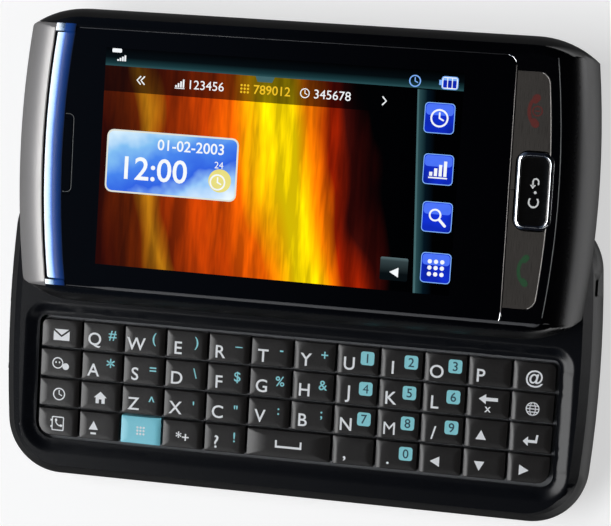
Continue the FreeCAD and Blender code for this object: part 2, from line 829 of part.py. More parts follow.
def slider_inner(gap, z, height):
    """Inside outline of the display half; the back case's block is smaller by the gap."""
    return pad(barrel(panel_edge + end_reach - inner_end_wall - gap, slider_side - inner_wall - gap,
                      base_bow, inner_corner, z), height)


def slider_back_case():
    """Back of the display half: recess for the slide plate, channels for the runners' heads."""
    edge = slider_outside().common(slab(slider_bottom, skirt_bottom))
    block = slider_inner(fit_gap, skirt_bottom - 0.1, back_block_top - skirt_bottom + 0.1)
    case = edge.fuse(block)
    recess = clipped(-slide_plate_length / 2 - fit_gap, slide_plate_length / 2 + fit_gap,
                     -slide_plate_side - fit_gap, slide_plate_side + fit_gap, slider_bottom, 3 * small_clip)
    cuts = [pad(recess, plate_top - slider_bottom)]
    channel_height = head_top + run_gap - plate_top
    cuts += [slide_slot(x, runner_head, plate_top, channel_height) for x in (-runner_x, runner_x)]
    spring_room = spring_height / 2 + spring_margin
    cuts.append(box(-spring_reach - spring_margin, spring_reach + spring_margin, -spring_room, spring_room,
                    plate_top, plate_top + channel_height))
    return case.cut(cuts)


def bow_cylinder(x, z, height):
    """Everything inside the right-hand bow that passes x on the middle line."""
    return Part.makeCylinder(x - bow_axis, height, V(bow_axis, 0, z))


def strip_form(fall, z, height):
    """Chrome strip: slice of a turned ring, rounded off towards its outer edge by the fall."""
    inner = -window_left + fit_gap
    top = z + height
    corners = [V(inner, 0, z), V(panel_edge, 0, z), V(panel_edge, 0, top - fall)]
    edges = [line(a, b) for a, b in zip(corners, corners[1:])]
    crest = V(inner, 0, top)
    if fall:
        middle = V((inner + panel_edge) / 2, 0, top - fall * 0.28)
        edges.append(arc(corners[-1], middle, crest))
    else:
        edges.append(line(corners[-1], crest))
    edges.append(line(crest, corners[0]))
    return mirrored(turned_about_bow(Part.Face(Part.Wire(edges))))


def chrome_strip():
    strip = strip_form(strip_fall, slider_top - strip_thickness, strip_thickness)
    return strip.common(side_block(strip_inset))


def cap_form(gap):
    """What lies beyond the chrome strip, between the ends of the two long shoulders; the gap widens it."""
    side = slider_side - cap_side_margin + gap
    end = box(-beyond, 0, -side, side, skirt_bottom, slider_top + 1)
    return end.cut(mirrored(bow_cylinder(panel_edge + cap_gap - gap, skirt_bottom, slider_height + 2)))


def silver_end_cap():
    """Cap that makes the left end slope, with the bezel's hollow carried on inside."""
    hollow = slider_inner(0, skirt_bottom - 1, cavity_step - skirt_bottom + 1)
    return slider_outside().common(cap_form(0)).cut(hollow)


def window_form(gap, z, height):
    """Plan of the touch window, with a notch at its left edge for the earpiece."""
    side = window_side + gap
    wire = rounded(window_left - 8, window_right + gap, -side, side, z,
                   [window_corner + gap, 0, 0, window_corner + gap])
    inside_bow = mirrored(bow_cylinder(-window_left + gap, z, height))
    return pad(wire, height).common(inside_bow)


def touch_window():
    window = window_form(0, window_bottom, window_thickness)
    reach = earpiece_length / 2 + fit_gap
    notch = box(window_left - 4, window_left + earpiece_width + fit_gap, -reach, reach, 0, slider_top + 1)
    return window.cut(notch)


def earpiece():
    """Receiver under the bezel, a spout through it, and the slot insert beside the chrome strip."""
    x0 = window_left + fit_gap
    insert = box(x0, window_left + earpiece_width, -earpiece_length / 2, earpiece_length / 2,
                 window_bottom, slider_top - earpiece_sink)
    spout = box(x0 + 0.1, x0 + earpiece_spout, -receiver_length / 2 + 1, receiver_length / 2 - 1,
                cavity_step - 0.1, window_bottom + 0.1)
    receiver = box(x0 - receiver_width + earpiece_spout, x0 + earpiece_spout, -receiver_length / 2,
                   receiver_length / 2, cavity_step - receiver_thickness, cavity_step)
    return insert.fuse([spout, receiver])


def front_key_plan(gap, z, height):
    """The strip that the end and send keys fill, with its two rounded outer corners."""
    left = window_right + rib + front_key_air - gap
    strip = box(left, panel_edge, -front_key_reach - gap, front_key_reach + gap, z, z + height)
    strip = strip.common(bow_cylinder(front_key_edge + gap, z, height))
    corner_x = bow_axis + math.sqrt((front_key_edge + gap - bow_axis) ** 2 - (front_key_reach + gap) ** 2)
    corners = upright_edges_near(strip, corner_x, front_key_reach + gap, 0.2)
    corners += upright_edges_near(strip, corner_x, -front_key_reach - gap, 0.2)
    return strip.makeFillet(front_key_corner, corners)


def clear_key_wire(inset, z):
    return rounded(clear_key_left + inset, clear_key_right - inset, -clear_key_length / 2 + inset,
                   clear_key_length / 2 - inset, z, 4 * [clear_key_corner - inset])


def front_key(side):
    """End key (side 1) or send key (side -1); they meet beside the clear key."""
    key = front_key_plan(0, front_key_bottom, front_key_height)
    key = key.cut(pad(clear_key_wire(-clear_key_air, 0), slider_top + 1))
    y = side * front_key_seam / 2
    if side > 0:
        return key.common(box(0, beyond, y, beyond, 0, beyond))
    return key.common(box(0, beyond, -beyond, y, 0, beyond))


def clear_key():
    """Clear key: a raised rim round a dipped middle."""
    top = slider_top + clear_key_proud
    key = pad(clear_key_wire(0, front_key_bottom), top - front_key_bottom)
    key = key.makeChamfer(clear_key_bevel, edges_at(key, top))
    return key.cut(pad(clear_key_wire(clear_key_rim, top - clear_key_dip), 1))


def front_bezel():
    """Front of the display half: shoulders, right end slope, seats of window, strip, cap and keys."""
    body = slider_outside().common(slab(skirt_bottom, slider_top))
    cuts = [slider_inner(0, skirt_bottom - 1, cavity_step - skirt_bottom + 1)]
    cuts.append(box(window_left + ledge + 1, window_right - ledge - 1, ledge - window_side,
                    window_side - ledge, cavity_step - 1, slider_top))
    cuts.append(window_form(fit_gap, window_bottom, window_thickness + 1))
    strip = strip_form(0, slider_top - strip_thickness, strip_thickness + 1)
    cuts.append(strip.common(side_block(strip_inset - fit_gap)))
    cuts.append(cap_form(fit_gap))
    cuts.append(front_key_plan(front_key_air, front_key_floor, front_key_height + 1))
    cuts.append(pad(clear_key_wire(-front_key_air, front_key_floor), front_key_height + 1))
    spout_x = window_left + fit_gap
    cuts.append(box(spout_x, spout_x + earpiece_spout + fit_gap, -receiver_length / 2, receiver_length / 2,
                    cavity_step - 1, window_bottom + 1))
    return body.cut(cuts)


def display_module():
    return box(window_left + display_left_margin, window_right - display_right_margin,
               display_low_margin - window_side, window_side - display_high_margin,
               display_bottom, window_bottom)


def display_flex():
    """Flat cable folded once, from the display's back to the top of the back case."""
    y0 = -flex_length / 2
    y1 = flex_length / 2
    outer = display_bottom
    inner = back_block_top
    bend = (outer - inner) / 2
    middle = (outer + inner) / 2
    loop = [(outer, bend), (outer - flex_thickness, bend - flex_thickness)]
    edges = []
    for level, radius in loop:
        low = 2 * middle - level
        edges.append(line(V(0, y1, level), V(0, y0, level)))
        edges.append(arc(V(0, y0, level), V(0, y0 - radius, middle), V(0, y0, low)))
        edges.append(line(V(0, y0, low), V(0, y1, low)))
    edges.append(line(V(0, y1, outer), V(0, y1, outer - flex_thickness)))
    edges.append(line(V(0, y1, inner), V(0, y1, inner + flex_thickness)))
    face = Part.Face(Part.Wire(Part.__sortEdges__(edges)))
    return face.extrude(V(flex_width, 0, 0))


# ---------------------------------------------------------------- pieces to files
save("base_rear_case", rear_case().cut(microphone_slit()))
save("keyboard_deck", keyboard_deck())
save("main_board", main_board())
save("key_mat", key_mat())
save("function_keys", Part.makeCompound(function_keys()))
save("battery", battery())
save("battery_cover", battery_cover())
save("camera_module", camera_module())
save("loudspeaker", loudspeaker())
save("case_screws", Part.makeCompound(case_screws()))
save("port_cover", port_cover())
save("volume_rocker", side_button(rocker_x, rocker_length, True))
save("camera_key", side_button(camera_key_x, camera_key_length, False))
save("slide_carriage", slide_carriage())
for key_name, key_shape in moving_keys().items():
    save(key_name, key_shape)

save("slide_plate", open_slide(slide_plate()))
save("slide_spring", open_slide(slide_spring()))
save("slider_back_case", open_slide(slider_back_case()))
save("front_bezel", open_slide(front_bezel()))
save("silver_end_cap", open_slide(silver_end_cap()))
save("chrome_strip", open_slide(chrome_strip()))
save("touch_window", open_slide(touch_window()))
save("display_module", open_slide(display_module()))
save("earpiece", open_slide(earpiece()))
save("display_flex", open_slide(display_flex()))
save("end_key", open_slide(front_key(1)))
save("send_key", open_slide(front_key(-1)))
save("clear_key", open_slide(clear_key()))
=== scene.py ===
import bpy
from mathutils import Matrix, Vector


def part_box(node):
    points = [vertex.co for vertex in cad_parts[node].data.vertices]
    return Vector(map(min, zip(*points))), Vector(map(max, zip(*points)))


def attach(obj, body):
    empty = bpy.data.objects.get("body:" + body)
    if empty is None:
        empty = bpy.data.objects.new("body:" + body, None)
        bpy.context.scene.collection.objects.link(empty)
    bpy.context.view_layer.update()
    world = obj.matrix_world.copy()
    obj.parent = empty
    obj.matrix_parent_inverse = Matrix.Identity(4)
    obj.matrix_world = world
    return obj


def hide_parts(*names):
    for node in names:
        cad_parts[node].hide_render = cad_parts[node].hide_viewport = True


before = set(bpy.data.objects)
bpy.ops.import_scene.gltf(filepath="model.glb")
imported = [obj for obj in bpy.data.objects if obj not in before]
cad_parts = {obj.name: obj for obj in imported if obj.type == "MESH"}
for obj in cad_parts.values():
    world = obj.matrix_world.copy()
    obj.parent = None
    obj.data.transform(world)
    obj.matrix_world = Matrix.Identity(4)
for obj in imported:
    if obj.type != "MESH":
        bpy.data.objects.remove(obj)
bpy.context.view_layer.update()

import functools
import math

import bmesh
import bpy
import numpy as np
from bpy.props import FloatProperty, FloatVectorProperty, IntProperty, PointerProperty
from mathutils import Matrix, Vector

bl_info = {
    "name": "Slider phone finish",
    "version": (1, 0, 0),
    "blender": (4, 5, 0),
    "location": "3D View > Sidebar > Phone",
    "description": "Dresses the packed slider phone: key caps, legends, screen, trims, finishes and stage",
    "category": "Object",
}

MM = 0.001
SLIDER = "slider"
BASE = "base"
# growth of the letters' outlines at font size one, and the characters whose sharp inner corners take none
BOLD = 0.010
SHARP_INSIDE = set("M4")
# gloss level of the polished black, and of the cases' satin
POLISH = 0.85
SATIN = 0.75
# a noise lies mostly between these two values
NOISE_RANGE = (0.3, 0.7)
# size of the broad mottle on plastics and metals
MOTTLE_SIZE = 9.0 * MM
BLACK = (0.0, 0.0, 0.0)


# ------------------------------------------------------------------ settings
def length(name, text, value):
    """A size in metres, shown as a length."""
    return FloatProperty(name=name, description=text, default=value, precision=5, unit="LENGTH", min=0.0)


def place(name, text, value):
    """A position along one axis in metres, so it may be negative."""
    return FloatProperty(name=name, description=text, default=value, precision=5, unit="LENGTH")


def colour(name, text, value):
    """A colour in linear light."""
    return FloatVectorProperty(name=name, description=text, default=value, size=3, subtype="COLOR",
                               min=0.0, max=1.0)


def factor(name, text, value):
    """A share from 0 to 1."""
    return FloatProperty(name=name, description=text, default=value, subtype="FACTOR", min=0.0, max=1.0)


def angle_setting(name, text, degrees):
    """An angle, given in degrees and kept in radians."""
    return FloatProperty(name=name, description=text, default=math.radians(degrees), subtype="ANGLE")


class KeySettings(bpy.types.PropertyGroup):
    """Form and print of the keyboard's keys."""

    crown: length("Crown", "Height of the rounded crown above the key's straight skirt", 0.30 * MM)
    ridge_lean: length("Ridge lean", "How far the crown leans in on the side facing the middle", 1.1 * MM)
    edge_lean: length("Edge lean", "How far it leans in on the other three sides", 0.14 * MM)
    ridge_sweep: length("Ridge sweep", "Radius of the swept corner at the far end of the ridge", 2.4 * MM)
    corner: length("Corner", "Corner radius of a key", 0.16 * MM)
    outer_corner: length("Outer corner", "Corner radius at the keyboard's upper corners", 1.0 * MM)
    big_corner: length("Big corner", "Corner radius at the keyboard's lower corners", 2.4 * MM)
    print_rise: length("Print rise", "Thickness of the printed legends", 0.012 * MM)
    letter: length("Letter height", "Height of a capital", 2.35 * MM)
    symbol: length("Symbol height", "Height of a second symbol", 1.8 * MM)
    digit: length("Digit height", "Height of a dark digit", 1.65 * MM)
    tile: length("Tile", "Side of the light square behind a digit", 2.5 * MM)
    tile_corner: length("Tile corner", "Corner radius of that square", 0.5 * MM)
    ink: colour("Ink", "White print", (0.78, 0.80, 0.82))
    second_ink: colour("Second ink", "Pale blue print", (0.24, 0.62, 0.68))
    digit_ink: colour("Digit ink", "Dark digits on the light squares", (0.012, 0.06, 0.09))
    body: colour("Key body", "Satin key plastic", (0.0105, 0.0095, 0.0090))
    shift_body: colour("Shift key", "The pale blue key", (0.225, 0.66, 0.79))
    crease: angle_setting("Crease", "Edges of a key sharper than this stay sharp", 38)


class ScreenSettings(bpy.types.PropertyGroup):
    """Lit area of the display, and the colours of what it shows."""

    left: place("Left", "Left edge of the lit area", -36.05 * MM)
    right: place("Right", "Right edge of the lit area", 29.3 * MM)
    low: place("Low", "Lower edge, from the middle line of the display half", -19.35 * MM)
    high: place("High", "Upper edge, from the middle line of the display half", 20.0 * MM)
    layer: length("Layer", "Thickness of one printed layer of the picture", 0.010 * MM)
    side_lean: factor("Side lean", "Sideways lean of the side bar and its icons, by height", 0.045)
    turn: angle_setting("Turn", "Turn of the picture against the window", -0.4)
    divider: place("Divider", "Line between the picture and the icons", 21.9 * MM)
    bar_low: place("Status bar", "Lower edge of the status bar", 16.8 * MM)
    tabs_low: place("Tab bar", "Lower edge of the tab bar", 12.2 * MM)
    icon_size: length("Icon size", "Side of one icon", 5.4 * MM)
    icon_line: place("Icon line", "Middle of the icons at the height of the middle line", 25.9 * MM)
    glow: colour("Glow", "Brightest colour of the picture", (1.0, 0.72, 0.0))
    ember: colour("Ember", "Middle colour of the picture", (0.85, 0.12, 0.0))
    bar: colour("Bar", "Teal of the status bar", (0.008, 0.034, 0.040))
    icon: colour("Icon", "Blue of the icons", (0.006, 0.03, 0.62))


class FinishSettings(bpy.types.PropertyGroup):
    """Colours of the plastics and metals."""

    shell: colour("Shell", "Polished black of the display half", (0.0007, 0.0007, 0.0010))
    deck: colour("Deck", "Satin blue black round the keys", (0.0026, 0.0031, 0.0046))
    case: colour("Case", "Dark grey of the rear cases", (0.0055, 0.0054, 0.0055))
    silver: colour("Silver", "End cap", (0.33, 0.32, 0.315))
    chrome: colour("Chrome", "Bright trims", (0.86, 0.87, 0.89))
    # the strip's blue is partly its own lacquer and partly a painted reflection of a blue sky
    strip_blue: colour("Strip blue", "Inner half of the long chrome strip", (0.012, 0.075, 0.36))
    brushed: colour("Brushed", "End and send keys", (0.082, 0.074, 0.066))
    steel: colour("Steel", "Slide parts and screws", (0.42, 0.42, 0.43))
    red: colour("Red mark", "Mark on the end key", (0.085, 0.006, 0.003))
    green: colour("Green mark", "Mark on the send key", (0.003, 0.050, 0.012))


class StageSettings(bpy.types.PropertyGroup):
    """Camera, floor and lamps."""

    camera_at: FloatVectorProperty(name="Camera", description="Place of the camera", size=3, subtype="XYZ",
                                   unit="LENGTH", default=(0.09275, 0.0684, 0.4316))
    camera_looks: FloatVectorProperty(name="Looks", description="Direction the camera looks in", size=3,
                                      subtype="DIRECTION", default=(-0.2096, -0.1205, -0.9703))
    camera_up: FloatVectorProperty(name="Up", description="The camera's own upward direction", size=3,
                                   subtype="DIRECTION", default=(-0.0809, 0.9911, -0.1056))
    focal_pixels: FloatProperty(name="Focal length", description="Focal length in pixels of the picture",
                                default=2400.0, min=1.0)
    picture_width: IntProperty(name="Picture width", description="Width of the picture in pixels",
                               default=611, min=1)
    floor: colour("Floor", "Pale floor", (0.46, 0.46, 0.46))
    floor_reach: length("Floor reach", "Half the side of the floor", 4.0)


def settings(name):
    """The settings of one group, such as the keys or the stage."""
    return getattr(bpy.context.scene.phone, name)


# ------------------------------------------------------------------ meshes
def add_piece(name, points, faces, materials, picks=None, smooth=True):
    """Puts one mesh into the scene: points (n, 3), faces as index rows of one or more lengths,
    and the material number of each face in picks."""
    mesh = bpy.data.meshes.new(name)
    mesh.from_pydata(np.asarray(points, float).tolist(), [], [list(map(int, face)) for face in faces])
    for material in materials:
        mesh.materials.append(material)
    if picks is not None:
        mesh.polygons.foreach_set("material_index", np.asarray(picks, np.int32))
    mesh.polygons.foreach_set("use_smooth", np.full(len(mesh.polygons), smooth))
    mesh.update()
    piece = bpy.data.objects.new(name, mesh)
    bpy.context.scene.collection.objects.link(piece)
    return piece


def settle(piece, body, replaced=()):
    """Lets a piece ride on its body, and hides the CAD parts that it replaces."""
    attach(piece, body)
    if replaced:
        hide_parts(*replaced)


class Shape:
    """Points and faces that are gathered before they become one piece; faces carry a material number."""

    def __init__(self):
        self.points = []
        self.faces = []
        self.picks = []
        self.count = 0

    def add(self, points, faces, pick=0):
        """Adds a part whose faces all take one material number."""
        points = np.asarray(points, float)
        self.points.append(points)
        self.faces += [tuple(int(index) + self.count for index in face) for face in faces]
        self.picks += [pick] * len(faces)
        self.count += len(points)

    def piece(self, name, materials, smooth=True):
        """Makes the gathered parts one piece of the scene."""
        return add_piece(name, np.concatenate(self.points), self.faces, materials, self.picks, smooth)


def ring_faces(rings, around):
    """Quads between rings of the same number of points, and a fan at each end.
    The last two points of the mesh are the middles of the first and the last ring."""
    row = np.arange(around)
    after = (row + 1) % around
    faces = []
    for ring in range(rings - 1):
        low = ring * around
        high = low + around
        faces += np.stack([row + low, after + low, after + high, row + high], 1).tolist()
    first, last, top = rings * around, rings * around + 1, (rings - 1) * around
    faces += np.stack([after, row, np.full(around, first)], 1).tolist()
    faces += np.stack([row + top, after + top, np.full(around, last)], 1).tolist()
    return faces


def stack_rings(rings):
    """Closed skin over a stack of rings (k, m, 3) that run from the underside to the top."""
    rings = np.asarray(rings, float)
    count, around, _ = rings.shape
    points = rings.reshape(-1, 3)
    ends = np.stack([rings[0].mean(0), rings[-1].mean(0)])
    return np.concatenate([points, ends]), ring_faces(count, around)


def rounded_outline(left, right, low, high, radii, arc=5, side=3):
    """Rounded rectangle, anticlockwise from the lower right: corner centres plus radius times
    (cos, sin) over a quarter turn, with points in between along the four sides."""
    radii = np.asarray(radii, float)
    centres = np.array([[right - radii[0], low + radii[0]], [right - radii[1], high - radii[1]],
                        [left + radii[2], high - radii[2]], [left + radii[3], low + radii[3]]])
    turn = np.linspace(0.0, math.pi / 2, arc)[None, :] + (np.arange(4)[:, None] - 1) * math.pi / 2
    arcs = centres[:, None, :] + radii[:, None, None] * np.stack([np.cos(turn), np.sin(turn)], 2)
    starts = arcs[:, -1]
    ends = np.roll(arcs[:, 0], -1, 0)
    share = (np.arange(1, side + 1) / (side + 1))[None, :, None]
    sides = starts[:, None, :] * (1 - share) + ends[:, None, :] * share
    return np.concatenate([arcs, sides], 1).reshape(-1, 2)


def at_height(outline, height):
    """Points of a flat outline, with Z at the height."""
    return np.column_stack([outline, np.full(len(outline), height)])


def slab(outline, low, high):
    """Closed flat piece over an outline."""
    return stack_rings([at_height(outline, low), at_height(outline, high)])


def bead(path, radius, flat):
    """Round bar along a path (n, 3): at each point a circle across the path's direction,
    its height times flat. The radius is one number, or one for each point."""
    path = np.asarray(path, float)
    radius = np.broadcast_to(radius, len(path))[:, None, None]
    along = np.gradient(path, axis=0)
    along /= np.linalg.norm(along, axis=1, keepdims=True)
    side = np.cross(along, [0.0, 0.0, 1.0])
    side /= np.linalg.norm(side, axis=1, keepdims=True)
    over = np.cross(side, along)
    turn = np.linspace(0, 2 * math.pi, 8, endpoint=False)
    return stack_rings(path[:, None, :] + radius * np.cos(turn)[None, :, None] * side[:, None, :]
                       + radius * flat * np.sin(turn)[None, :, None] * over[:, None, :])


# ------------------------------------------------------------------ flat print: text, marks and outlines
def mesh_of_curve(curve):
    """Points and faces of a filled flat curve or text, thickened by its own extrude."""
    holder = bpy.data.objects.new("print", curve)
    bpy.context.scene.collection.objects.link(holder)
    bpy.context.view_layer.update()
    graph = bpy.context.evaluated_depsgraph_get()
    mesh = bpy.data.meshes.new_from_object(holder.evaluated_get(graph))
    points = np.empty(len(mesh.vertices) * 3)
    mesh.vertices.foreach_get("co", points)
    faces = [tuple(polygon.vertices) for polygon in mesh.polygons]
    bpy.data.objects.remove(holder)
    bpy.data.meshes.remove(mesh)
    return points.reshape(-1, 3), faces


def plain_lettering(text):
    """Points and faces of a line of text at font size one, half a unit thick to either side. Its outlines
    grow by BOLD, but for characters whose inner corners are sharp."""
    curve = bpy.data.curves.new("print", "FONT")
    curve.body = text
    curve.size = 1.0
    curve.resolution_u = 4
    curve.offset = 0.0 if SHARP_INSIDE & set(text) else BOLD
    curve.extrude = 0.5
    points, faces = mesh_of_curve(curve)
    bpy.data.curves.remove(curve)
    return points, faces


@functools.lru_cache(maxsize=None)
def capital_height():
    """Height of a capital at font size one, so that letters can be set by their own height."""
    points, _ = plain_lettering("H")
    return float(np.ptp(points[:, 1]))


@functools.lru_cache(maxsize=None)
def letters(text, height, thick):
    """A line of text with its capitals at the given height, its start and base line at the origin."""
    points, faces = plain_lettering(text)
    points[:, :2] *= height / capital_height()
    points[:, 2] = (points[:, 2] + 0.5) * thick
    points[:, 0] -= points[:, 0].min()
    return points, faces


def filled(outlines, thick):
    """Flat mark between closed outlines: an outline inside another one cuts a hole."""
    curve = bpy.data.curves.new("mark", "CURVE")
    curve.dimensions = "2D"
    curve.fill_mode = "BOTH"
    for outline in outlines:
        outline = np.asarray(outline, float) / MM
        spline = curve.splines.new("POLY")
        spline.points.add(len(outline) - 1)
        row = np.column_stack([outline, np.zeros(len(outline)), np.ones(len(outline))])
        spline.points.foreach_set("co", row.ravel())
        spline.use_cyclic_u = True
    curve.extrude = 0.5
    points, faces = mesh_of_curve(curve)
    bpy.data.curves.remove(curve)
    points[:, :2] *= MM
    points[:, 2] = (points[:, 2] + 0.5) * thick
    return points, faces


def turned(points, angle):
    """Points turned about the upright line through the origin by an angle in radians."""
    cos, sin = math.cos(angle), math.sin(angle)
    points = np.array(points, float)
    points[:, :2] = points[:, :2] @ np.array([[cos, sin], [-sin, cos]])
    return points


def ellipse(x, y, half_x, half_y, count=28):
    """Points of an ellipse about x and y: each half width times the cosine or sine of a full turn."""
    turn = np.linspace(0, 2 * math.pi, count, endpoint=False)
    return np.stack([x + half_x * np.cos(turn), y + half_y * np.sin(turn)], 1)


def stroke(path, width):
    """Outline of a line: the path moved to either side along its normal, with half circles at its ends.
    The width is one number, or one for each point."""
    path = np.asarray(path, float)
    width = np.broadcast_to(width, len(path))[:, None]
    along = np.gradient(path, axis=0)
    along /= np.linalg.norm(along, axis=1, keepdims=True)
    normal = np.stack([-along[:, 1], along[:, 0]], 1)
    left = path + normal * width / 2
    right = path - normal * width / 2
    turn = np.linspace(math.pi / 2, -math.pi / 2, 6)[1:-1]

    def end(point, direction, size):
        """Half circle round an end of the path."""
        base = math.atan2(direction[1], direction[0])
        return point + size / 2 * np.stack([np.cos(base + turn), np.sin(base + turn)], 1)

    return np.concatenate([left, end(path[-1], along[-1], width[-1]), right[::-1],
                           end(path[0], -along[0], width[0])])


def circle_path(x, y, radius, start, stop, count=16):
    """Points of an arc between two angles in degrees."""
    turn = np.radians(np.linspace(start, stop, count))
    return np.stack([x + radius * np.cos(turn), y + radius * np.sin(turn)], 1)


def bow_x(reach, radius, y):
    """X of a bowed edge at y: an arc of the radius that passes reach on the middle line."""
    return reach - radius + np.sqrt(radius ** 2 - np.asarray(y, float) ** 2)


def rectangle(left, right, low, high):
    """The four corners of a rectangle, anticlockwise from the lower left."""
    return np.array([[left, low], [right, low], [right, high], [left, high]])


# ------------------------------------------------------------------ marks, drawn in a unit square
def envelope_mark():
    """Envelope: a filled body, and a flap with a thin dark gap round it."""
    body = [np.array([[-0.5, -0.34], [0.5, -0.34], [0.5, 0.24], [0.0, -0.14], [-0.5, 0.24]])]
    flap = [np.array([[-0.45, 0.34], [0.0, -0.01], [0.45, 0.34]])]
    return body, flap


def handset_mark(tilt, slim=False):
    """Telephone handset: a bent bar that widens to a pad at each end, turned by tilt degrees. Along the bar
    the share u runs from -1 to 1, and the pads grow with a smooth step from 0.58 to 0.78 of it."""
    share = np.linspace(-1.0, 1.0, 33)
    pad = np.clip((np.abs(share) - 0.58) / 0.20, 0.0, 1.0)
    pad = pad * pad * (3 - 2 * pad)
    turn = np.radians(270 + 46 * share)
    radius = 0.62 - 0.05 * pad
    path = np.stack([radius * np.cos(turn), radius * np.sin(turn)], 1)
    outline = stroke(path, 0.11 + (0.09 if slim else 0.13) * pad)
    return [[turned(outline + [0.0, 0.53], math.radians(tilt))]]


def star_mark():
    """Asterisk of three crossing strokes."""
    return [[stroke(circle_path(0.0, 0.0, 0.42, angle, angle + 180, 2), 0.15)] for angle in (90, 30, 150)]


def arrow_mark():
    """Arrow that points left."""
    return [[np.array([[-0.5, 0.0], [-0.12, 0.26], [-0.12, 0.09], [0.5, 0.09], [0.5, -0.09], [-0.12, -0.09],
                       [-0.12, -0.26]])]]


def return_mark():
    """Arrow that points left, with its tail bent up."""
    return [[np.array([[-0.5, -0.12], [-0.16, 0.20], [-0.16, -0.02], [0.30, -0.02], [0.36, 0.34],
                       [0.50, 0.34], [0.42, -0.20], [-0.16, -0.20], [-0.16, -0.42]])]]


def hook_mark():
    """Arrow that points left from the end of a half circle."""
    bend = np.concatenate([[[-0.22, 0.22]], circle_path(0.10, 0.0, 0.22, 90, -90, 12), [[-0.10, -0.22]]])
    return [[stroke(bend, 0.13)], [np.array([[-0.50, 0.22], [-0.18, 0.46], [-0.18, -0.02]])]]


def space_mark():
    """Level line with its ends turned up."""
    return [[np.array([[-0.5, 0.14], [-0.5, -0.14], [0.5, -0.14], [0.5, 0.14], [0.43, 0.14], [0.43, -0.06],
                       [-0.43, -0.06], [-0.43, 0.14]])]]


def triangle_mark(turns):
    """Equal-sided triangle, turned by quarter turns: 0 points up."""
    return [[turned([[-0.5, -0.42], [0.5, -0.42], [0.0, 0.5]], turns * math.pi / 2)]]


def two_heads_mark():
    """Two round faces side by side, the nearer one larger."""
    large = [ellipse(-0.16, 0.08, 0.34, 0.34), ellipse(-0.16, 0.08, 0.27, 0.27)]
    return [large, [ellipse(-0.27, 0.12, 0.045, 0.06)], [ellipse(-0.06, 0.12, 0.045, 0.06)],
            [ellipse(0.33, -0.10, 0.20, 0.20)]]


def house_mark():
    """House: a roof over a block with a door."""
    return [[np.array([[-0.48, 0.02], [0.0, 0.46], [0.48, 0.02], [0.34, 0.02], [0.34, -0.40], [0.10, -0.40],
                       [0.10, -0.10], [-0.10, -0.10], [-0.10, -0.40], [-0.34, -0.40], [-0.34, 0.02]])]]


def book_mark():
    """Book with two tabs and a handset."""
    page = [rounded_outline(-0.40, 0.40, -0.45, 0.45, 4 * [0.08]),
            rounded_outline(-0.33, 0.33, -0.38, 0.38, 4 * [0.05])]
    tabs = [[rectangle(-0.48, -0.40, y - 0.06, y + 0.06)] for y in (-0.2, 0.2)]
    handset = [[outline[0] * 0.62] for outline in handset_mark(-45)]
    return [page, *tabs, *handset]


def clock_mark():
    """Round clock face with two hands."""
    return [[ellipse(0, 0, 0.46, 0.46), ellipse(0, 0, 0.37, 0.37)], [stroke([[0, 0.26], [0, 0.0]], 0.08)],
            [stroke([[0.0, 0.0], [0.20, -0.10]], 0.08)]]


def grid_mark():
    """Nine round dots in three rows."""
    return [[ellipse(x, y, 0.11, 0.11, 16)] for x in (-0.32, 0.0, 0.32) for y in (-0.32, 0.0, 0.32)]


def bars_mark():
    """Four upright bars of rising height on a base line."""
    bars = [[rectangle(-0.44 + 0.24 * n, -0.28 + 0.24 * n, -0.34, -0.14 + 0.19 * n)] for n in range(4)]
    return bars + [[rectangle(-0.48, 0.48, -0.46, -0.39)]]


def glass_mark():
    """Magnifying glass."""
    return [[ellipse(-0.1, 0.1, 0.32, 0.32), ellipse(-0.1, 0.1, 0.23, 0.23)],
            [stroke([[0.14, -0.14], [0.42, -0.42]], 0.14)]]


def globe_mark():
    """Globe: outer ring, upright ellipse and three level lines."""
    rings = [[ellipse(0, 0, 0.46, 0.46), ellipse(0, 0, 0.39, 0.39)],
             [ellipse(0, 0, 0.22, 0.44), ellipse(0, 0, 0.155, 0.39)]]
    levels = ((0.40, 0), (0.34, 0.21), (0.34, -0.21))
    lines = [[rectangle(-half, half, y - 0.035, y + 0.035)] for half, y in levels]
    return rings + lines


def chevron_mark(count):
    """Arrow heads in a row that point left."""
    heads = []
    for n in range(count):
        x = 0.36 * n - 0.18 * (count - 1)
        heads.append([stroke([[x + 0.16, 0.34], [x - 0.16, 0.0], [x + 0.16, -0.34]], 0.12)])
    return heads


# ------------------------------------------------------------------ printing on pieces
def put(shape, drawn, pick, x, y, z, degrees=0.0, centre=True):
    """Adds a flat drawing, centred on its own box and turned, at a place."""
    points, faces = drawn
    points = points.copy()
    if centre:
        points[:, :2] -= (points[:, :2].min(0) + points[:, :2].max(0)) / 2
    shape.add(turned(points, math.radians(degrees)) + [x, y, z], faces, pick)


def put_mark(shape, mark, width, pick, x, y, z, thick, degrees=0.0):
    """Adds a mark drawn in the unit square at its width."""
    for outlines in mark:
        drawn = filled([outline * width for outline in outlines], thick)
        put(shape, drawn, pick, x, y, z, degrees, centre=False)


# ------------------------------------------------------------------ materials
def opaque(value):
    """A colour with full opacity; another node's output stays as it is."""
    return value if isinstance(value, bpy.types.NodeSocket) else (*value, 1.0)


def shade(tone, share):
    """A colour times a share, kept between 0 and 1."""
    return tuple(min(1.0, max(0.0, channel * share)) for channel in tone)


def set_stops(ramp, stops):
    """Gives a colour ramp its stops, each a place from 0 to 1 and a colour."""
    elements = ramp.color_ramp.elements
    while len(elements) < len(stops):
        elements.new(0.5)
    for element, (at, tone) in zip(elements, stops):
        element.position = at
        element.color = (*tone, 1.0)


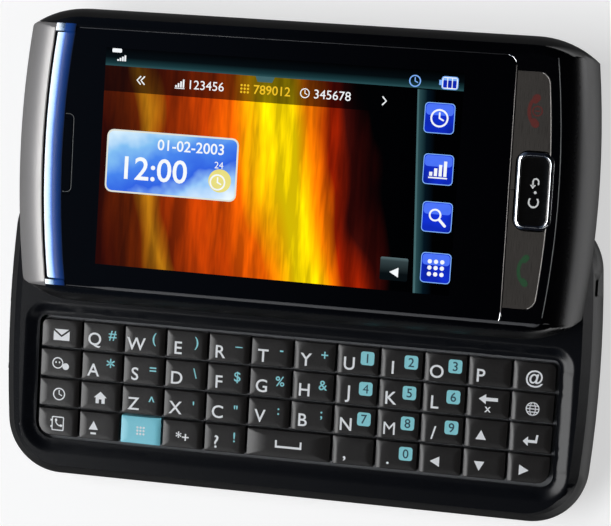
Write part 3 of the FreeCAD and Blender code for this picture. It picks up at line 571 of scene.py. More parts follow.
class Recipe:
    """A node material: adds nodes and joins them with few words."""

    def __init__(self, name):
        self.material = bpy.data.materials.new(name)
        self.material.use_nodes = True
        self.tree = self.material.node_tree
        self.shader = self.tree.nodes["Principled BSDF"]
        self.spot = self.node("TexCoord").outputs["Object"]

    def node(self, kind, **values):
        """A new shader node with some of its values set."""
        made = self.tree.nodes.new("ShaderNode" + kind)
        for key, value in values.items():
            setattr(made, key, value)
        return made

    def join(self, source, target):
        """Joins an output to an input."""
        self.tree.links.new(source, target)

    def feed(self, value, socket):
        """Joins another node's output to a socket, or sets the socket's own value."""
        if isinstance(value, bpy.types.NodeSocket):
            self.join(value, socket)
        else:
            socket.default_value = value

    def noise(self, size, detail=3.0, stretch=(1.0, 1.0, 1.0)):
        """Noise with features of about the given size in metres, stretched along the axes."""
        mapping = self.node("Mapping")
        mapping.inputs["Scale"].default_value = [1.0 / (size * axis) for axis in stretch]
        self.join(self.spot, mapping.inputs["Vector"])
        noise = self.node("TexNoise")
        for name, value in (("Scale", 1.0), ("Detail", detail), ("Roughness", 0.55)):
            noise.inputs[name].default_value = value
        self.join(mapping.outputs["Vector"], noise.inputs["Vector"])
        return noise.outputs["Fac"]

    def ramp(self, value, stops):
        """Colours (place, colour) along a value from 0 to 1."""
        ramp = self.node("ValToRGB")
        set_stops(ramp, stops)
        self.join(value, ramp.inputs["Fac"])
        return ramp.outputs["Color"]

    def mottled(self, noise, tone, dark, light):
        """A tone times a share that runs with a noise from dark to light."""
        low, high = NOISE_RANGE
        return self.ramp(noise, [(low, shade(tone, dark)), (high, shade(tone, light))])

    def between(self, noise, low, high):
        """A number that runs with a noise from low to high."""
        return self.span(noise, *NOISE_RANGE, low, high)

    def mix(self, share, first, second):
        """Mixes two colours by a share. A colour mixer has its share at input 0, its colours at 6 and 7, and
        its result at output 2."""
        mixer = self.node("Mix", data_type="RGBA")
        for value, place_of_input in ((share, 0), (opaque(first), 6), (opaque(second), 7)):
            self.feed(value, mixer.inputs[place_of_input])
        return mixer.outputs[2]

    def math(self, operation, *values):
        """Result of a sum on numbers or other nodes' outputs."""
        made = self.node("Math", operation=operation)
        for socket, value in zip(made.inputs, values):
            self.feed(value, socket)
        return made.outputs[0]

    def span(self, value, low, high, to_low=0.0, to_high=1.0):
        """Maps one range of values onto another, kept inside it."""
        made = self.node("MapRange")
        for name, number in (("From Min", low), ("From Max", high), ("To Min", to_low), ("To Max", to_high)):
            made.inputs[name].default_value = number
        self.join(value, made.inputs["Value"])
        return made.outputs["Result"]

    def reach(self, x, y):
        """Distance from the upright line through x and y."""
        away = self.node("VectorMath", operation="SUBTRACT")
        away.inputs[1].default_value = (x, y, 0.0)
        flat = self.node("VectorMath", operation="MULTIPLY")
        flat.inputs[1].default_value = (1.0, 1.0, 0.0)
        size = self.node("VectorMath", operation="LENGTH")
        self.join(self.spot, away.inputs[0])
        self.join(away.outputs["Vector"], flat.inputs[0])
        self.join(flat.outputs["Vector"], size.inputs[0])
        return size.outputs["Value"]

    def axis(self, name):
        """X, Y or Z of the place."""
        split = self.node("SeparateXYZ")
        self.join(self.spot, split.inputs[0])
        return split.outputs[name]

    def colour(self, value):
        """Sets or joins the base colour."""
        self.feed(opaque(value), self.shader.inputs["Base Color"])

    def rough(self, value):
        """Sets or joins the roughness."""
        self.feed(value, self.shader.inputs["Roughness"])

    def bump(self, value, depth):
        """Relief of the given depth that follows a value."""
        bump = self.node("Bump")
        bump.inputs["Strength"].default_value = 1.0
        bump.inputs["Distance"].default_value = depth
        self.join(value, bump.inputs["Height"])
        self.join(bump.outputs["Normal"], self.shader.inputs["Normal"])


def finish(name, tone, roughness, metal=0.0, coat=0.0, grain=0.25 * MM, depth=0.0, mottle=0.08, spread=0.04,
           stretch=(1.0, 1.0, 1.0), gloss=0.5):
    """Plastic or metal: a broad mottle and a fine grain in colour and roughness, and a fine bump."""
    made = Recipe(name)
    fine = made.noise(grain, 4.0, stretch)
    broad = made.noise(MOTTLE_SIZE, 2.0)
    both = made.math("MULTIPLY_ADD", fine, 0.5, made.math("MULTIPLY", broad, 0.5))
    made.colour(made.mottled(both, tone, 1.0 - mottle, 1.0 + mottle))
    made.rough(made.between(fine, max(0.02, roughness - spread), roughness + spread))
    for socket, value in (("Metallic", metal), ("Coat Weight", coat), ("Coat Roughness", 0.05),
                          ("Specular IOR Level", gloss)):
        made.shader.inputs[socket].default_value = value
    if depth:
        made.bump(fine, depth)
    return made.material


def ink(name, colour_value, glow=0.0):
    """Printed ink with a slight unevenness; where a glow is given, the ink also shines in its own tone, a
    painted glow.
    """
    made = Recipe(name)
    tone = made.mottled(made.noise(0.12 * MM), colour_value, 0.93, 1.05)
    made.colour(tone)
    made.rough(0.42)
    # painted glow: the print gives off light of its own though it is no lamp
    if glow:
        made.join(tone, made.shader.inputs["Emission Color"])
        made.shader.inputs["Emission Strength"].default_value = glow
    return made.material


def lit(made, tone):
    """Lets a screen material shine in its tone below a glossy cover."""
    made.colour(made.mix(0.9, tone, BLACK))
    made.join(tone, made.shader.inputs["Emission Color"])
    made.shader.inputs["Emission Strength"].default_value = 1.0
    made.rough(made.between(made.noise(0.5 * MM), 0.04, 0.07))
    return made.material


# ------------------------------------------------------------------ keyboard
# second sign of each letter key; a digit stands on a light square
SECOND = {"q": "#", "w": "(", "e": ")", "r": "_", "t": "-", "y": "+", "u": "1", "i": "2", "o": "3", "p": "",
          "a": "*", "s": "=", "d": "\\", "f": "$", "g": "%", "h": "&", "j": "4", "k": "5", "l": "6",
          "z": "^", "x": "'", "c": "\"", "v": ":", "b": ";", "n": "7", "m": "8"}
# keys of each row from left to right; the space key is two places wide
GRID = (("mail", "q", "w", "e", "r", "t", "y", "u", "i", "o", "p", "at"),
        ("post", "a", "s", "d", "f", "g", "h", "j", "k", "l", "delete", "globe"),
        ("talk", "faces", "z", "x", "c", "v", "b", "n", "m", "slash", "up", "enter"),
        ("book", "shift", "blue", "symbols", "question", "space", "space", "comma", "period", "left", "down",
         "right"))
FIRST_RIGHT_COLUMN = 6
BODY_PICK, WHITE_PICK, PALE_PICK, DARK_PICK = range(4)
# keys with signs: first sign, its depth as a share of the key's height, and second sign
SIGNS = {"slash": ("/", 0.63, "9"), "period": (".", 0.78, "0"), "comma": (",", 0.78, ""),
         "question": ("?", 0.63, "!")}
# keys with marks: drawing, width, and place as shares of the key's width and height
MARKS = {
    "mail": [(envelope_mark(), 3.1 * MM, 0.5, 0.55)],
    "post": [(two_heads_mark(), 3.2 * MM, 0.5, 0.55)],
    "talk": [(clock_mark(), 2.6 * MM, 0.5, 0.55)],
    "book": [(book_mark(), 3.0 * MM, 0.5, 0.55)],
    "faces": [(house_mark(), 2.6 * MM, 0.5, 0.55)],
    "globe": [(globe_mark(), 2.7 * MM, 0.5, 0.55)],
    "delete": [(arrow_mark(), 3.5 * MM, 0.5, 0.36)],
    "enter": [(return_mark(), 2.8 * MM, 0.5, 0.55)],
    "shift": [(triangle_mark(0), 1.8 * MM, 0.36, 0.5),
              ([[rectangle(-0.3, 0.3, -0.1, 0.1)]], 1.8 * MM, 0.36, 0.78)],
    "blue": [(grid_mark(), 1.9 * MM, 0.5, 0.52)],
    "space": [(space_mark(), 5.0 * MM, 0.5, 0.5)],
    **{name: [(triangle_mark(turns), 1.9 * MM, 0.38, 0.56)]
       for turns, name in enumerate(("up", "left", "down", "right"))},
}
# keys with other signs: the signs, their height, and place as above
OTHER_SIGNS = {"at": ("@", 2.3 * MM, 0.5, 0.58), "delete": ("x", 1.5 * MM, 0.5, 0.72),
               "symbols": ("*+", 1.85 * MM, 0.5, 0.56)}


def key_rings(box, leans, radii, top_radii, crown):
    """Rings of a key: a straight skirt, then the outline blends from the brim to the top outline while
    its height follows crown times (1 - (1 - t) squared)."""
    left, right, low, high, bottom, top = box
    brim = rounded_outline(left, right, low, high, radii)
    upper = rounded_outline(left + leans[2], right - leans[0], low + leans[3], high - leans[1], top_radii)
    steps = 6
    share = np.linspace(0.0, 1.0, steps)[:, None, None]
    flat = brim[None] * (1 - share) + upper[None] * share
    height = top - crown + crown * (1 - (1 - share[:, 0, 0]) ** 2)
    rings = np.concatenate([flat, np.broadcast_to(height[:, None, None], (steps, len(brim), 1))], 2)
    inner = at_height(upper.mean(0) + (upper - upper.mean(0)) * 0.5, top)
    return np.concatenate([at_height(brim, bottom)[None], rings, inner[None]])


def key_shape(name, box, column, row, last_column):
    """One key cap with its print. The crown leans in most on the side that faces the middle of the
    keyboard, and the far end of that ridge is swept."""
    keys = settings("keys")
    right_half = column >= FIRST_RIGHT_COLUMN and name != "space"
    edge = keys.edge_lean
    leans = (edge, edge, keys.ridge_lean, edge) if right_half else (keys.ridge_lean, edge, edge, edge)
    if name == "space":
        leans = (edge, edge, edge, edge)
    last_row = len(GRID) - 1
    corners = {(last_row, last_column): (0, keys.big_corner), (0, last_column): (1, keys.outer_corner),
               (0, 0): (2, keys.outer_corner), (last_row, 0): (3, keys.big_corner)}
    radii = [keys.corner] * 4
    if (row, column) in corners:
        corner, radius = corners[row, column]
        radii[corner] = radius
    top_radii = [max(value, keys.corner * 1.4) for value in radii]
    if name != "space":
        top_radii[2 if right_half else 1] = keys.ridge_sweep
    shape = Shape()
    points, faces = stack_rings(key_rings(box, leans, radii, top_radii, keys.crown))
    shape.add(points, faces, BODY_PICK)
    print_key(shape, name, box)
    return shape


def print_key(shape, name, box):
    """Adds the legend of a key, at shares of its width and height from its upper left corner."""
    keys = settings("keys")
    left, right, low, high, _, top = box
    width, height = right - left, high - low
    thick = keys.print_rise
    level = top - thick * 0.5

    def spot(share_x, share_y):
        """Place on the key at shares of its width and height."""
        return left + share_x * width, high - share_y * height, level

    def text(words, size, pick, share_x, share_y):
        """A line of text, centred there."""
        put(shape, letters(words, size, thick), pick, *spot(share_x, share_y))

    def digit(sign):
        """A dark digit on its light square."""
        x, y, z = spot(0.725, 0.40)
        half = keys.tile / 2
        tile = rounded_outline(x - half, x + half, y - half, y + half, [keys.tile_corner] * 4)
        points, faces = slab(tile, z - thick, z + thick)
        shape.add(points, faces, PALE_PICK)
        put(shape, letters(sign, keys.digit, thick), DARK_PICK, x, y, z + thick * 0.6)

    def mark(drawing, size, pick, share_x, share_y):
        """A mark at its width."""
        put_mark(shape, drawing, size, pick, *spot(share_x, share_y), thick)

    def second(sign):
        """The second sign: a digit, a star or plain text."""
        if sign.isdigit():
            digit(sign)
        elif sign == "*":
            mark(star_mark(), keys.symbol, PALE_PICK, 0.72, 0.34)
        elif sign:
            text(sign, keys.symbol, PALE_PICK, 0.74, 0.42)

    if name in SECOND:
        text(name.upper(), keys.letter, WHITE_PICK, 0.29, 0.63)
        second(SECOND[name])
    if name in SIGNS:
        first, depth, other = SIGNS[name]
        text(first, keys.letter, WHITE_PICK, 0.30, depth)
        second(other)
    for drawing, size, share_x, share_y in MARKS.get(name, ()):
        mark(drawing, size, WHITE_PICK, share_x, share_y)
    if name in OTHER_SIGNS:
        signs, size, share_x, share_y = OTHER_SIGNS[name]
        text(signs, size, WHITE_PICK, share_x, share_y)


class PHONE_OT_keys(bpy.types.Operator):
    """Makes the 47 key caps with their print"""

    bl_idname = "phone.keys"
    bl_label = "Key caps"

    def execute(self, context):
        keys = settings("keys")
        body = finish("key_satin", keys.body, 0.30, grain=0.09 * MM, depth=0.005 * MM, mottle=0.12)
        blue = finish("key_pale_blue", keys.shift_body, 0.36, grain=0.09 * MM, depth=0.004 * MM, mottle=0.08)
        # the white and pale blue inks shine with a faint painted glow
        inks = [ink("ink_white", keys.ink, 0.05), ink("ink_pale_blue", keys.second_ink, 0.05),
                ink("ink_dark", keys.digit_ink)]
        corner_low, corner_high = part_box("key_q")
        far_low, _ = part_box("key_p")
        below_low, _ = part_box("key_a")
        pitch_x = (far_low.x - corner_low.x) / (GRID[0].index("p") - GRID[0].index("q"))
        pitch_y = corner_low.y - below_low.y
        width, height = corner_high.x - corner_low.x, corner_high.y - corner_low.y
        still_low, still_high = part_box("function_keys")
        done = set()
        for row, names in enumerate(GRID):
            for column, name in enumerate(names):
                if name in done:
                    continue
                done.add(name)
                node = "key_" + name
                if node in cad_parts:
                    low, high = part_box(node)
                    box = (low.x, high.x, low.y, high.y, low.z, high.z)
                    rides, replaced = node + "_cap", node
                else:
                    left = corner_low.x + (column - 1) * pitch_x
                    base = corner_low.y - row * pitch_y
                    box = (left, left + width, base, base + height, still_low.z, still_high.z)
                    rides, replaced = BASE, "function_keys"
                shape = key_shape(name, box, column, row, len(names) - 1)
                piece = shape.piece("cap_" + name, [blue if name == "blue" else body, *inks])
                piece.data.set_sharp_from_angle(angle=keys.crease)
                settle(piece, rides, [replaced])
        return {"FINISHED"}


# ------------------------------------------------------------------ screen
# material numbers of the screen, in the order of screen_materials
WALL, BAR, TABS, SIDE, ICON, CLOUDS, BUTTON, WHITE, YELLOW, EDGE, PALE, RIM, SUN, SHINE = range(14)
# layer that text and marks lie on
PRINT_LIFT = 4
# icons beside the picture: height above the middle line, and mark
ICONS = ((11.8 * MM, clock_mark()), (2.8 * MM, bars_mark()), (-5.6 * MM, glass_mark()),
         (-14.6 * MM, grid_mark()))
# tabs over the picture: place along X, mark, figures and tone
TAB_MARKS = ((-22.0 * MM, bars_mark(), "123456", WHITE), (-10.0 * MM, grid_mark(), "789012", YELLOW),
             (1.0 * MM, clock_mark(), "345678", WHITE))
# lower and upper edge of the button beside the side bar
BUTTON_LOW, BUTTON_HIGH = -17.5 * MM, -13.4 * MM


class Picture(Shape):
    """The screen's layers, each one layer higher than the one below it. Y runs from the middle line of the
    display half."""

    def __init__(self, middle, level, layer):
        super().__init__()
        self.middle = middle
        self.level = level
        self.layer = layer

    def height(self, lift):
        """Z of a layer: the window's top plus the layer's number times its thickness."""
        return self.level + lift * self.layer

    def sheet(self, outline, pick, lift):
        """A flat piece over an outline, one layer thick."""
        outline = np.asarray(outline) + [0.0, self.middle]
        points, faces = slab(outline, self.height(lift), self.height(lift + 1))
        self.add(points, faces, pick)

    def panel(self, left, right, low, high, pick, lift, radius=0.0):
        """A rectangle, with rounded corners where it has a radius."""
        if radius:
            self.sheet(rounded_outline(left, right, low, high, [radius] * 4), pick, lift)
        else:
            self.sheet(rectangle(left, right, low, high), pick, lift)

    def text(self, words, size, pick, x, y):
        """A line of text, centred at x and y."""
        put(self, letters(words, size, self.layer), pick, x, self.middle + y, self.height(PRINT_LIFT))

    def mark(self, drawing, size, pick, x, y, lift=PRINT_LIFT):
        """A mark at its width, with the middle of its square at x and y."""
        put_mark(self, drawing, size, pick, x, self.middle + y, self.height(lift), self.layer)


class PHONE_OT_screen(bpy.types.Operator):
    """Makes the lit picture of the display"""

    bl_idname = "phone.screen"
    bl_label = "Screen"

    def draw_fields(self, picture, screen):
        """Picture, status bar, tab bar and side bar. The side bar's left edge meets the divider on the
        middle line, and above it goes left by the side lean times the height."""
        left, right, low = screen.left, screen.right, screen.low
        picture.panel(left, right, low, screen.tabs_low, WALL, 0)
        picture.panel(left, right, screen.bar_low, screen.high, BAR, 0)
        picture.panel(left, right, screen.tabs_low, screen.bar_low, TABS, 0)
        side_top = screen.bar_low - 0.2 * MM
        foot = screen.divider - screen.side_lean * low
        head = screen.divider - screen.side_lean * side_top
        foot_line, head_line = 0.4 * MM, 0.3 * MM
        picture.sheet([[foot, low], [right, low], [right, side_top], [head, side_top]], SIDE, 1)
        picture.sheet([[foot, low], [foot + foot_line, low], [head + head_line, side_top], [head, side_top]],
                      EDGE, 2)
        tab = np.array([[-0.5, 0.0], [-0.38, -1.0], [0.38, -1.0], [0.5, 0.0]]) * [3.5 * MM, 1.0 * MM]
        picture.sheet(tab + [-6.4 * MM, screen.bar_low], EDGE, 1)

    def draw_icons(self, picture, screen):
        """Blue tiles with a pale edge and a lighter upper half, along the leaning side bar."""
        half = screen.icon_size / 2
        inner = half - 0.14 * MM
        shine = inner - 0.12 * MM
        for y, drawing in ICONS:
            x = screen.icon_line - screen.side_lean * y
            picture.panel(x - half, x + half, y - half, y + half, PALE, 2, 0.7 * MM)
            picture.panel(x - inner, x + inner, y - inner, y + inner, ICON, 3, 0.6 * MM)
            picture.panel(x - shine, x + shine, y + 0.5 * MM, y + shine, SHINE, 4, 0.6 * MM)
            picture.mark(drawing, 3.5 * MM, WHITE, x, y, 5)

    def draw_tabs(self, picture):
        """Chevrons at both ends of the tab bar, and between them the tabs with their figures."""
        right_chevron = [[outline * [-1, 1] for outline in head] for head in chevron_mark(1)]
        picture.mark(chevron_mark(2), 2.0 * MM, WHITE, -29.3 * MM, 14.5 * MM)
        picture.mark(right_chevron, 2.0 * MM, WHITE, 15.4 * MM, 14.1 * MM)
        line = 14.4 * MM
        for x, drawing, figures, pick in TAB_MARKS:
            picture.mark(drawing, 1.9 * MM, pick, x, line)
            picture.text(figures, 1.6 * MM, pick, x + 5.0 * MM, line)

    def draw_status(self, picture):
        """Signal bars with a small label at the left end of the status bar, and at its right end a battery
        with three cells and a clock."""
        for n in range(4):
            x = (-33.9 + 0.44 * n) * MM
            picture.panel(x, x + 0.32 * MM, 17.7 * MM, (18.0 + 0.25 * n) * MM, WHITE, 2)
        picture.panel(-34.9 * MM, -33.1 * MM, 19.2 * MM, 19.9 * MM, WHITE, 2, 0.2 * MM)
        left, right, low, high, rim = 25.3 * MM, 28.3 * MM, 16.9 * MM, 19.2 * MM, 0.15 * MM
        knob_low, knob_high = low + 0.7 * MM, high - 0.7 * MM
        picture.panel(left, right, low, high, PALE, 2, 0.5 * MM)
        picture.panel(left - 0.4 * MM, left + 0.1 * MM, knob_low, knob_high, PALE, 2)
        picture.panel(left + rim, right - rim, low + rim, high - rim, WHITE, 3, 0.4 * MM)
        for n in range(3):
            x = left + 2 * rim + 0.84 * MM * n
            picture.panel(x, x + 0.7 * MM, low + 2 * rim, knob_high, ICON, 4, 0.12 * MM)
            picture.panel(x, x + 0.7 * MM, knob_high, high - 2 * rim, PALE, 4)
        picture.mark(clock_mark(), 2.3 * MM, PALE, 20.6 * MM, 18.0 * MM)

    def draw_card(self, picture):
        """Card with a pale rim and a sky, with the time, the date and a small sun behind a clock."""
        left, right, low, high, rim = -35.0 * MM, -10.45 * MM, -6.0 * MM, 5.4 * MM, 0.3 * MM
        picture.panel(left, right, low, high, RIM, 1, 1.25 * MM)
        picture.panel(left + rim, right - rim, low + rim, high - rim, CLOUDS, 2, 1.0 * MM)
        picture.text("12:00", 4.1 * MM, WHITE, -25.6 * MM, -1.4 * MM)
        picture.text("01-02-2003", 1.9 * MM, WHITE, -19.3 * MM, 3.2 * MM)
        picture.mark([[ellipse(0, 0, 0.5, 0.5)]], 4.2 * MM, SUN, -13.6 * MM, -2.4 * MM, 3)
        picture.mark(clock_mark(), 3.2 * MM, WHITE, -14.0 * MM, -2.7 * MM)
        picture.text("24", 1.2 * MM, WHITE, -13.9 * MM, 0.4 * MM)

    def draw_button(self, picture):
        """Dark button with a triangle, beside the foot of the side bar."""
        picture.panel(16.6 * MM, 21.6 * MM, BUTTON_LOW, BUTTON_HIGH, BUTTON, 2, 0.3 * MM)
        picture.mark(triangle_mark(1), 1.75 * MM, WHITE, 19.2 * MM, -16.0 * MM)

    def execute(self, context):
        screen = settings("screen")
        window_low, window_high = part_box("touch_window")
        middle = (window_low.y + window_high.y) / 2
        picture = Picture(middle, window_high.z, screen.layer)
        self.draw_fields(picture, screen)
        self.draw_icons(picture, screen)
        self.draw_tabs(picture)
        self.draw_status(picture)
        self.draw_card(picture)
        self.draw_button(picture)
        centre = np.array([(screen.left + screen.right) / 2, middle, 0.0])
        picture.points = [turned(points - centre, screen.turn) + centre for points in picture.points]
        piece = picture.piece("screen_picture", screen_materials(screen, middle), smooth=False)
        settle(piece, SLIDER)
        return {"FINISHED"}


def screen_materials(screen, middle):
    """The glowing tones of the screen: picture, status bar, tab bar, side bar, icons, sky, button, and the
    plain ones. All follow the picture's own turned axes."""
    centre = ((screen.left + screen.right) / 2, middle)

    def start(name):
        """A new material that measures places along the picture's turned axes, from its middle."""
        made = Recipe(name)
        mapping = made.node("Mapping", vector_type="TEXTURE")
        mapping.inputs["Location"].default_value = (*centre, 0.0)
        mapping.inputs["Rotation"].default_value = (0.0, 0.0, screen.turn)
        made.join(made.spot, mapping.inputs["Vector"])
        made.spot = mapping.outputs["Vector"]
        return made

    def picture(made, strength):
        """Upright flames: noise stretched along Y, brightest in a slanting band."""
        across = made.span(made.axis("X"), screen.left - centre[0], screen.divider - centre[0])
        along = made.span(made.axis("Y"), screen.low, screen.high, -0.07, 0.07)
        wave = made.span(made.noise(15 * MM, 2.0, (1.0, 3.0, 1.0)), 0.2, 0.8, -0.09, 0.09)
        lean = made.math("ADD", made.math("ADD", across, along), wave)
        tones = made.ramp(lean, [
            (0.0, (0.030, 0.002, 0.0)), (0.11, (0.10, 0.012, 0.0)), (0.155, (0.42, 0.16, 0.004)),
            (0.195, (0.18, 0.016, 0.0)), (0.34, (0.50, 0.045, 0.0)), (0.44, screen.ember),
            (0.52, (1.0, 0.50, 0.0)), (0.57, screen.glow), (0.64, screen.glow), (0.70, (1.0, 0.22, 0.0)),
            (0.75, (0.30, 0.012, 0.0)), (0.80, (0.03, 0.002, 0.001)), (0.86, BLACK)])
        streaks = made.span(made.noise(2.2 * MM, 3.0, (1.0, 9.0, 1.0)), 0.40, 0.68, 0.62, 1.45)
        light = made.math("MULTIPLY", streaks, strength)
        product = made.node("VectorMath", operation="SCALE")
        made.join(tones, product.inputs[0])
        made.join(light, product.inputs["Scale"])
        return product.outputs["Vector"]

    wall = start("screen_glow")
    flames = picture(wall, 1.0)
    tabs = start("screen_tabs")
    faint = picture(tabs, 0.2)
    bars = start("screen_bars")
    teal = bars.ramp(bars.span(bars.axis("Y"), screen.bar_low, screen.high),
                     [(0.0, (0.022, 0.075, 0.085)), (0.16, screen.bar), (0.48, (0.001, 0.003, 0.004)),
                      (1.0, BLACK)])
    side = start("screen_side")
    beside = side.math("ADD", side.axis("X"), side.math("MULTIPLY", side.axis("Y"), screen.side_lean))
    band = side.ramp(side.span(beside, screen.divider - centre[0], screen.right - centre[0]),
                     [(0.03, (0.026, 0.070, 0.078)), (0.12, (0.012, 0.040, 0.048)),
                      (0.24, (0.001, 0.006, 0.011)), (0.45, BLACK)])
    button = start("screen_button")
    dusk = button.ramp(button.span(button.axis("Y"), BUTTON_LOW, BUTTON_HIGH),
                       [(0.3, (0.002, 0.004, 0.005)), (0.85, (0.030, 0.048, 0.052)),
                        (1.0, (0.09, 0.14, 0.15))])
    tile = start("screen_icon")
    blues = tile.mottled(tile.noise(3.5 * MM, 1.0), screen.icon, 0.5, 1.0)
    sky = start("screen_sky")
    slant = sky.math("ADD", sky.span(sky.axis("Y"), -5.5 * MM, 5.6 * MM),
                     sky.span(sky.axis("X"), -31.0 * MM, -8.0 * MM, 0.0, -0.7))
    cloud = sky.math("ADD", slant, sky.between(sky.noise(4.0 * MM, 2.0), -0.10, 0.10))
    skies = sky.ramp(sky.span(cloud, -0.7, 1.0),
                     [(0.0, (0.80, 0.90, 0.95)), (0.20, (0.30, 0.55, 0.90)), (0.34, (0.03, 0.12, 0.72)),
                      (0.55, (0.06, 0.22, 0.80)), (0.75, (0.22, 0.50, 0.85)), (1.0, (0.75, 0.90, 0.96))])
    made_tones = [lit(wall, flames), lit(bars, teal), lit(tabs, faint), lit(side, band), lit(tile, blues),
                  lit(sky, skies), lit(button, dusk)]
    for name, tone in (("screen_white", (0.90, 0.93, 0.95)), ("screen_yellow", (0.85, 0.52, 0.02)),
                       ("screen_edge", (0.055, 0.130, 0.140)), ("screen_pale", (0.22, 0.45, 0.95)),
                       ("screen_rim", (0.72, 0.74, 0.66)), ("screen_sun", (0.80, 0.72, 0.22)),
                       ("screen_gloss", (0.07, 0.17, 0.92))):
        made = start(name)
        made_tones.append(lit(made, made.mottled(made.noise(1.2 * MM), tone, 0.92, 1.0)))
    return made_tones


# ------------------------------------------------------------------ keys beside the screen
class PHONE_OT_front_keys(bpy.types.Operator):
    """Makes the ringed clear key and the marks of the end and send keys"""

    bl_idname = "phone.front_keys"
    bl_label = "Keys beside the screen"

    rim: length("Rim", "Width of the bright ring round the clear key", 0.8 * MM)
    dip: length("Dip", "Depth of the clear key's dish", 0.25 * MM)
    corner: length("Corner", "Corner radius of the clear key", 1.6 * MM)
    rise: length("Rise", "Height of the ring's crest above its outer edge", 0.24 * MM)
    clear_line: place("Clear line", "Line of the clear key's print, along X", 43.1 * MM)
    call_line: place("Call line", "Line of the end and send keys' marks, along X", 41.6 * MM)
    call_side: length("Call side", "How far those marks lie from the middle line", 14.0 * MM)
    crease: angle_setting("Crease", "Edges of the clear key sharper than this stay sharp", 50)

    def execute(self, context):
        finishes = settings("finishes")
        low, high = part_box("clear_key")
        middle = (low.y + high.y) / 2
        outline = rounded_outline(low.x, high.x, low.y, high.y, [self.corner] * 4, arc=9, side=6)
        centre = outline.mean(0)
        half = (np.array([high.x, high.y]) - np.array([low.x, low.y])) / 2

        def inner(inset):
            """The outline drawn in by the inset on all sides."""
            return centre + (outline - centre) * ((half - inset) / half)

        profile = ((0.0, low.z), (0.0, high.z - self.rise), (0.05 * MM, high.z - self.rise * 0.66),
                   (0.46 * MM, high.z - 0.01 * MM), (0.52 * MM, high.z), (0.62 * MM, high.z - 0.03 * MM),
                   (self.rim - 0.04 * MM, high.z - self.dip * 0.8), (self.rim + 0.10 * MM, high.z - self.dip),
                   (self.rim + 1.2 * MM, high.z - self.dip))
        rings = np.stack([at_height(inner(inset), height) for inset, height in profile])
        points, faces = stack_rings(rings)
        ring, dish, white = range(3)
        ring_bands = 6
        picks = np.full(len(faces), dish)
        picks[:ring_bands * len(outline)] = ring
        shape = Shape()
        shape.add(points, faces)
        shape.picks = picks.tolist()
        sunk, thick = 0.006 * MM, 0.02 * MM
        level = high.z - self.dip - sunk
        x = self.clear_line
        put(shape, letters("C", 1.9 * MM, thick), white, x - 0.2 * MM, middle - 2.1 * MM, level, 90)
        put(shape, filled([ellipse(0, 0, 0.26 * MM, 0.26 * MM)], thick), white, x, middle - 0.2 * MM, level)
        put_mark(shape, hook_mark(), 2.2 * MM, white, x, middle + 1.5 * MM, level, thick, 90)
        # the clear key's white mark shines with a faint painted glow
        piece = shape.piece("clear_key_ringed", [
            finish("key_ring", finishes.chrome, 0.10, metal=1.0, grain=0.2 * MM, mottle=0.03, spread=0.02),
            finish("key_dish", (0.0035, 0.0033, 0.0032), 0.14, grain=0.15 * MM, mottle=0.15,
                   stretch=(8.0, 0.6, 1.0)), ink("mark_white", (0.72, 0.73, 0.72), 0.05)])
        piece.data.set_sharp_from_angle(angle=self.crease)
        settle(piece, "clear_button", ["clear_key"])
        power = [[ellipse(0, 0, 0.5, 0.5), ellipse(0, 0, 0.37, 0.37)], [rectangle(-0.06, 0.06, -0.24, 0.24)]]
        x = self.call_line
        for node, body, side, tone in (("end_key", "end_button", self.call_side, finishes.red),
                                       ("send_key", "send_button", -self.call_side, finishes.green)):
            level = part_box(node)[1].z - sunk
            ends_call = node == "end_key"
            mark = Shape()
            handset = handset_mark(0, slim=not ends_call)
            put_mark(mark, handset, 5.6 * MM, 0, x, middle + side, level, thick, -90)
            if ends_call:
                put_mark(mark, power, 1.9 * MM, 0, x + 0.95 * MM, middle + side, level, thick, 90)
            # the red and green marks shine with a painted glow
            piece = mark.piece(node + "_mark", [ink(node + "_mark_ink", tone, 0.2)], smooth=False)
            settle(piece, body)
        return {"FINISHED"}


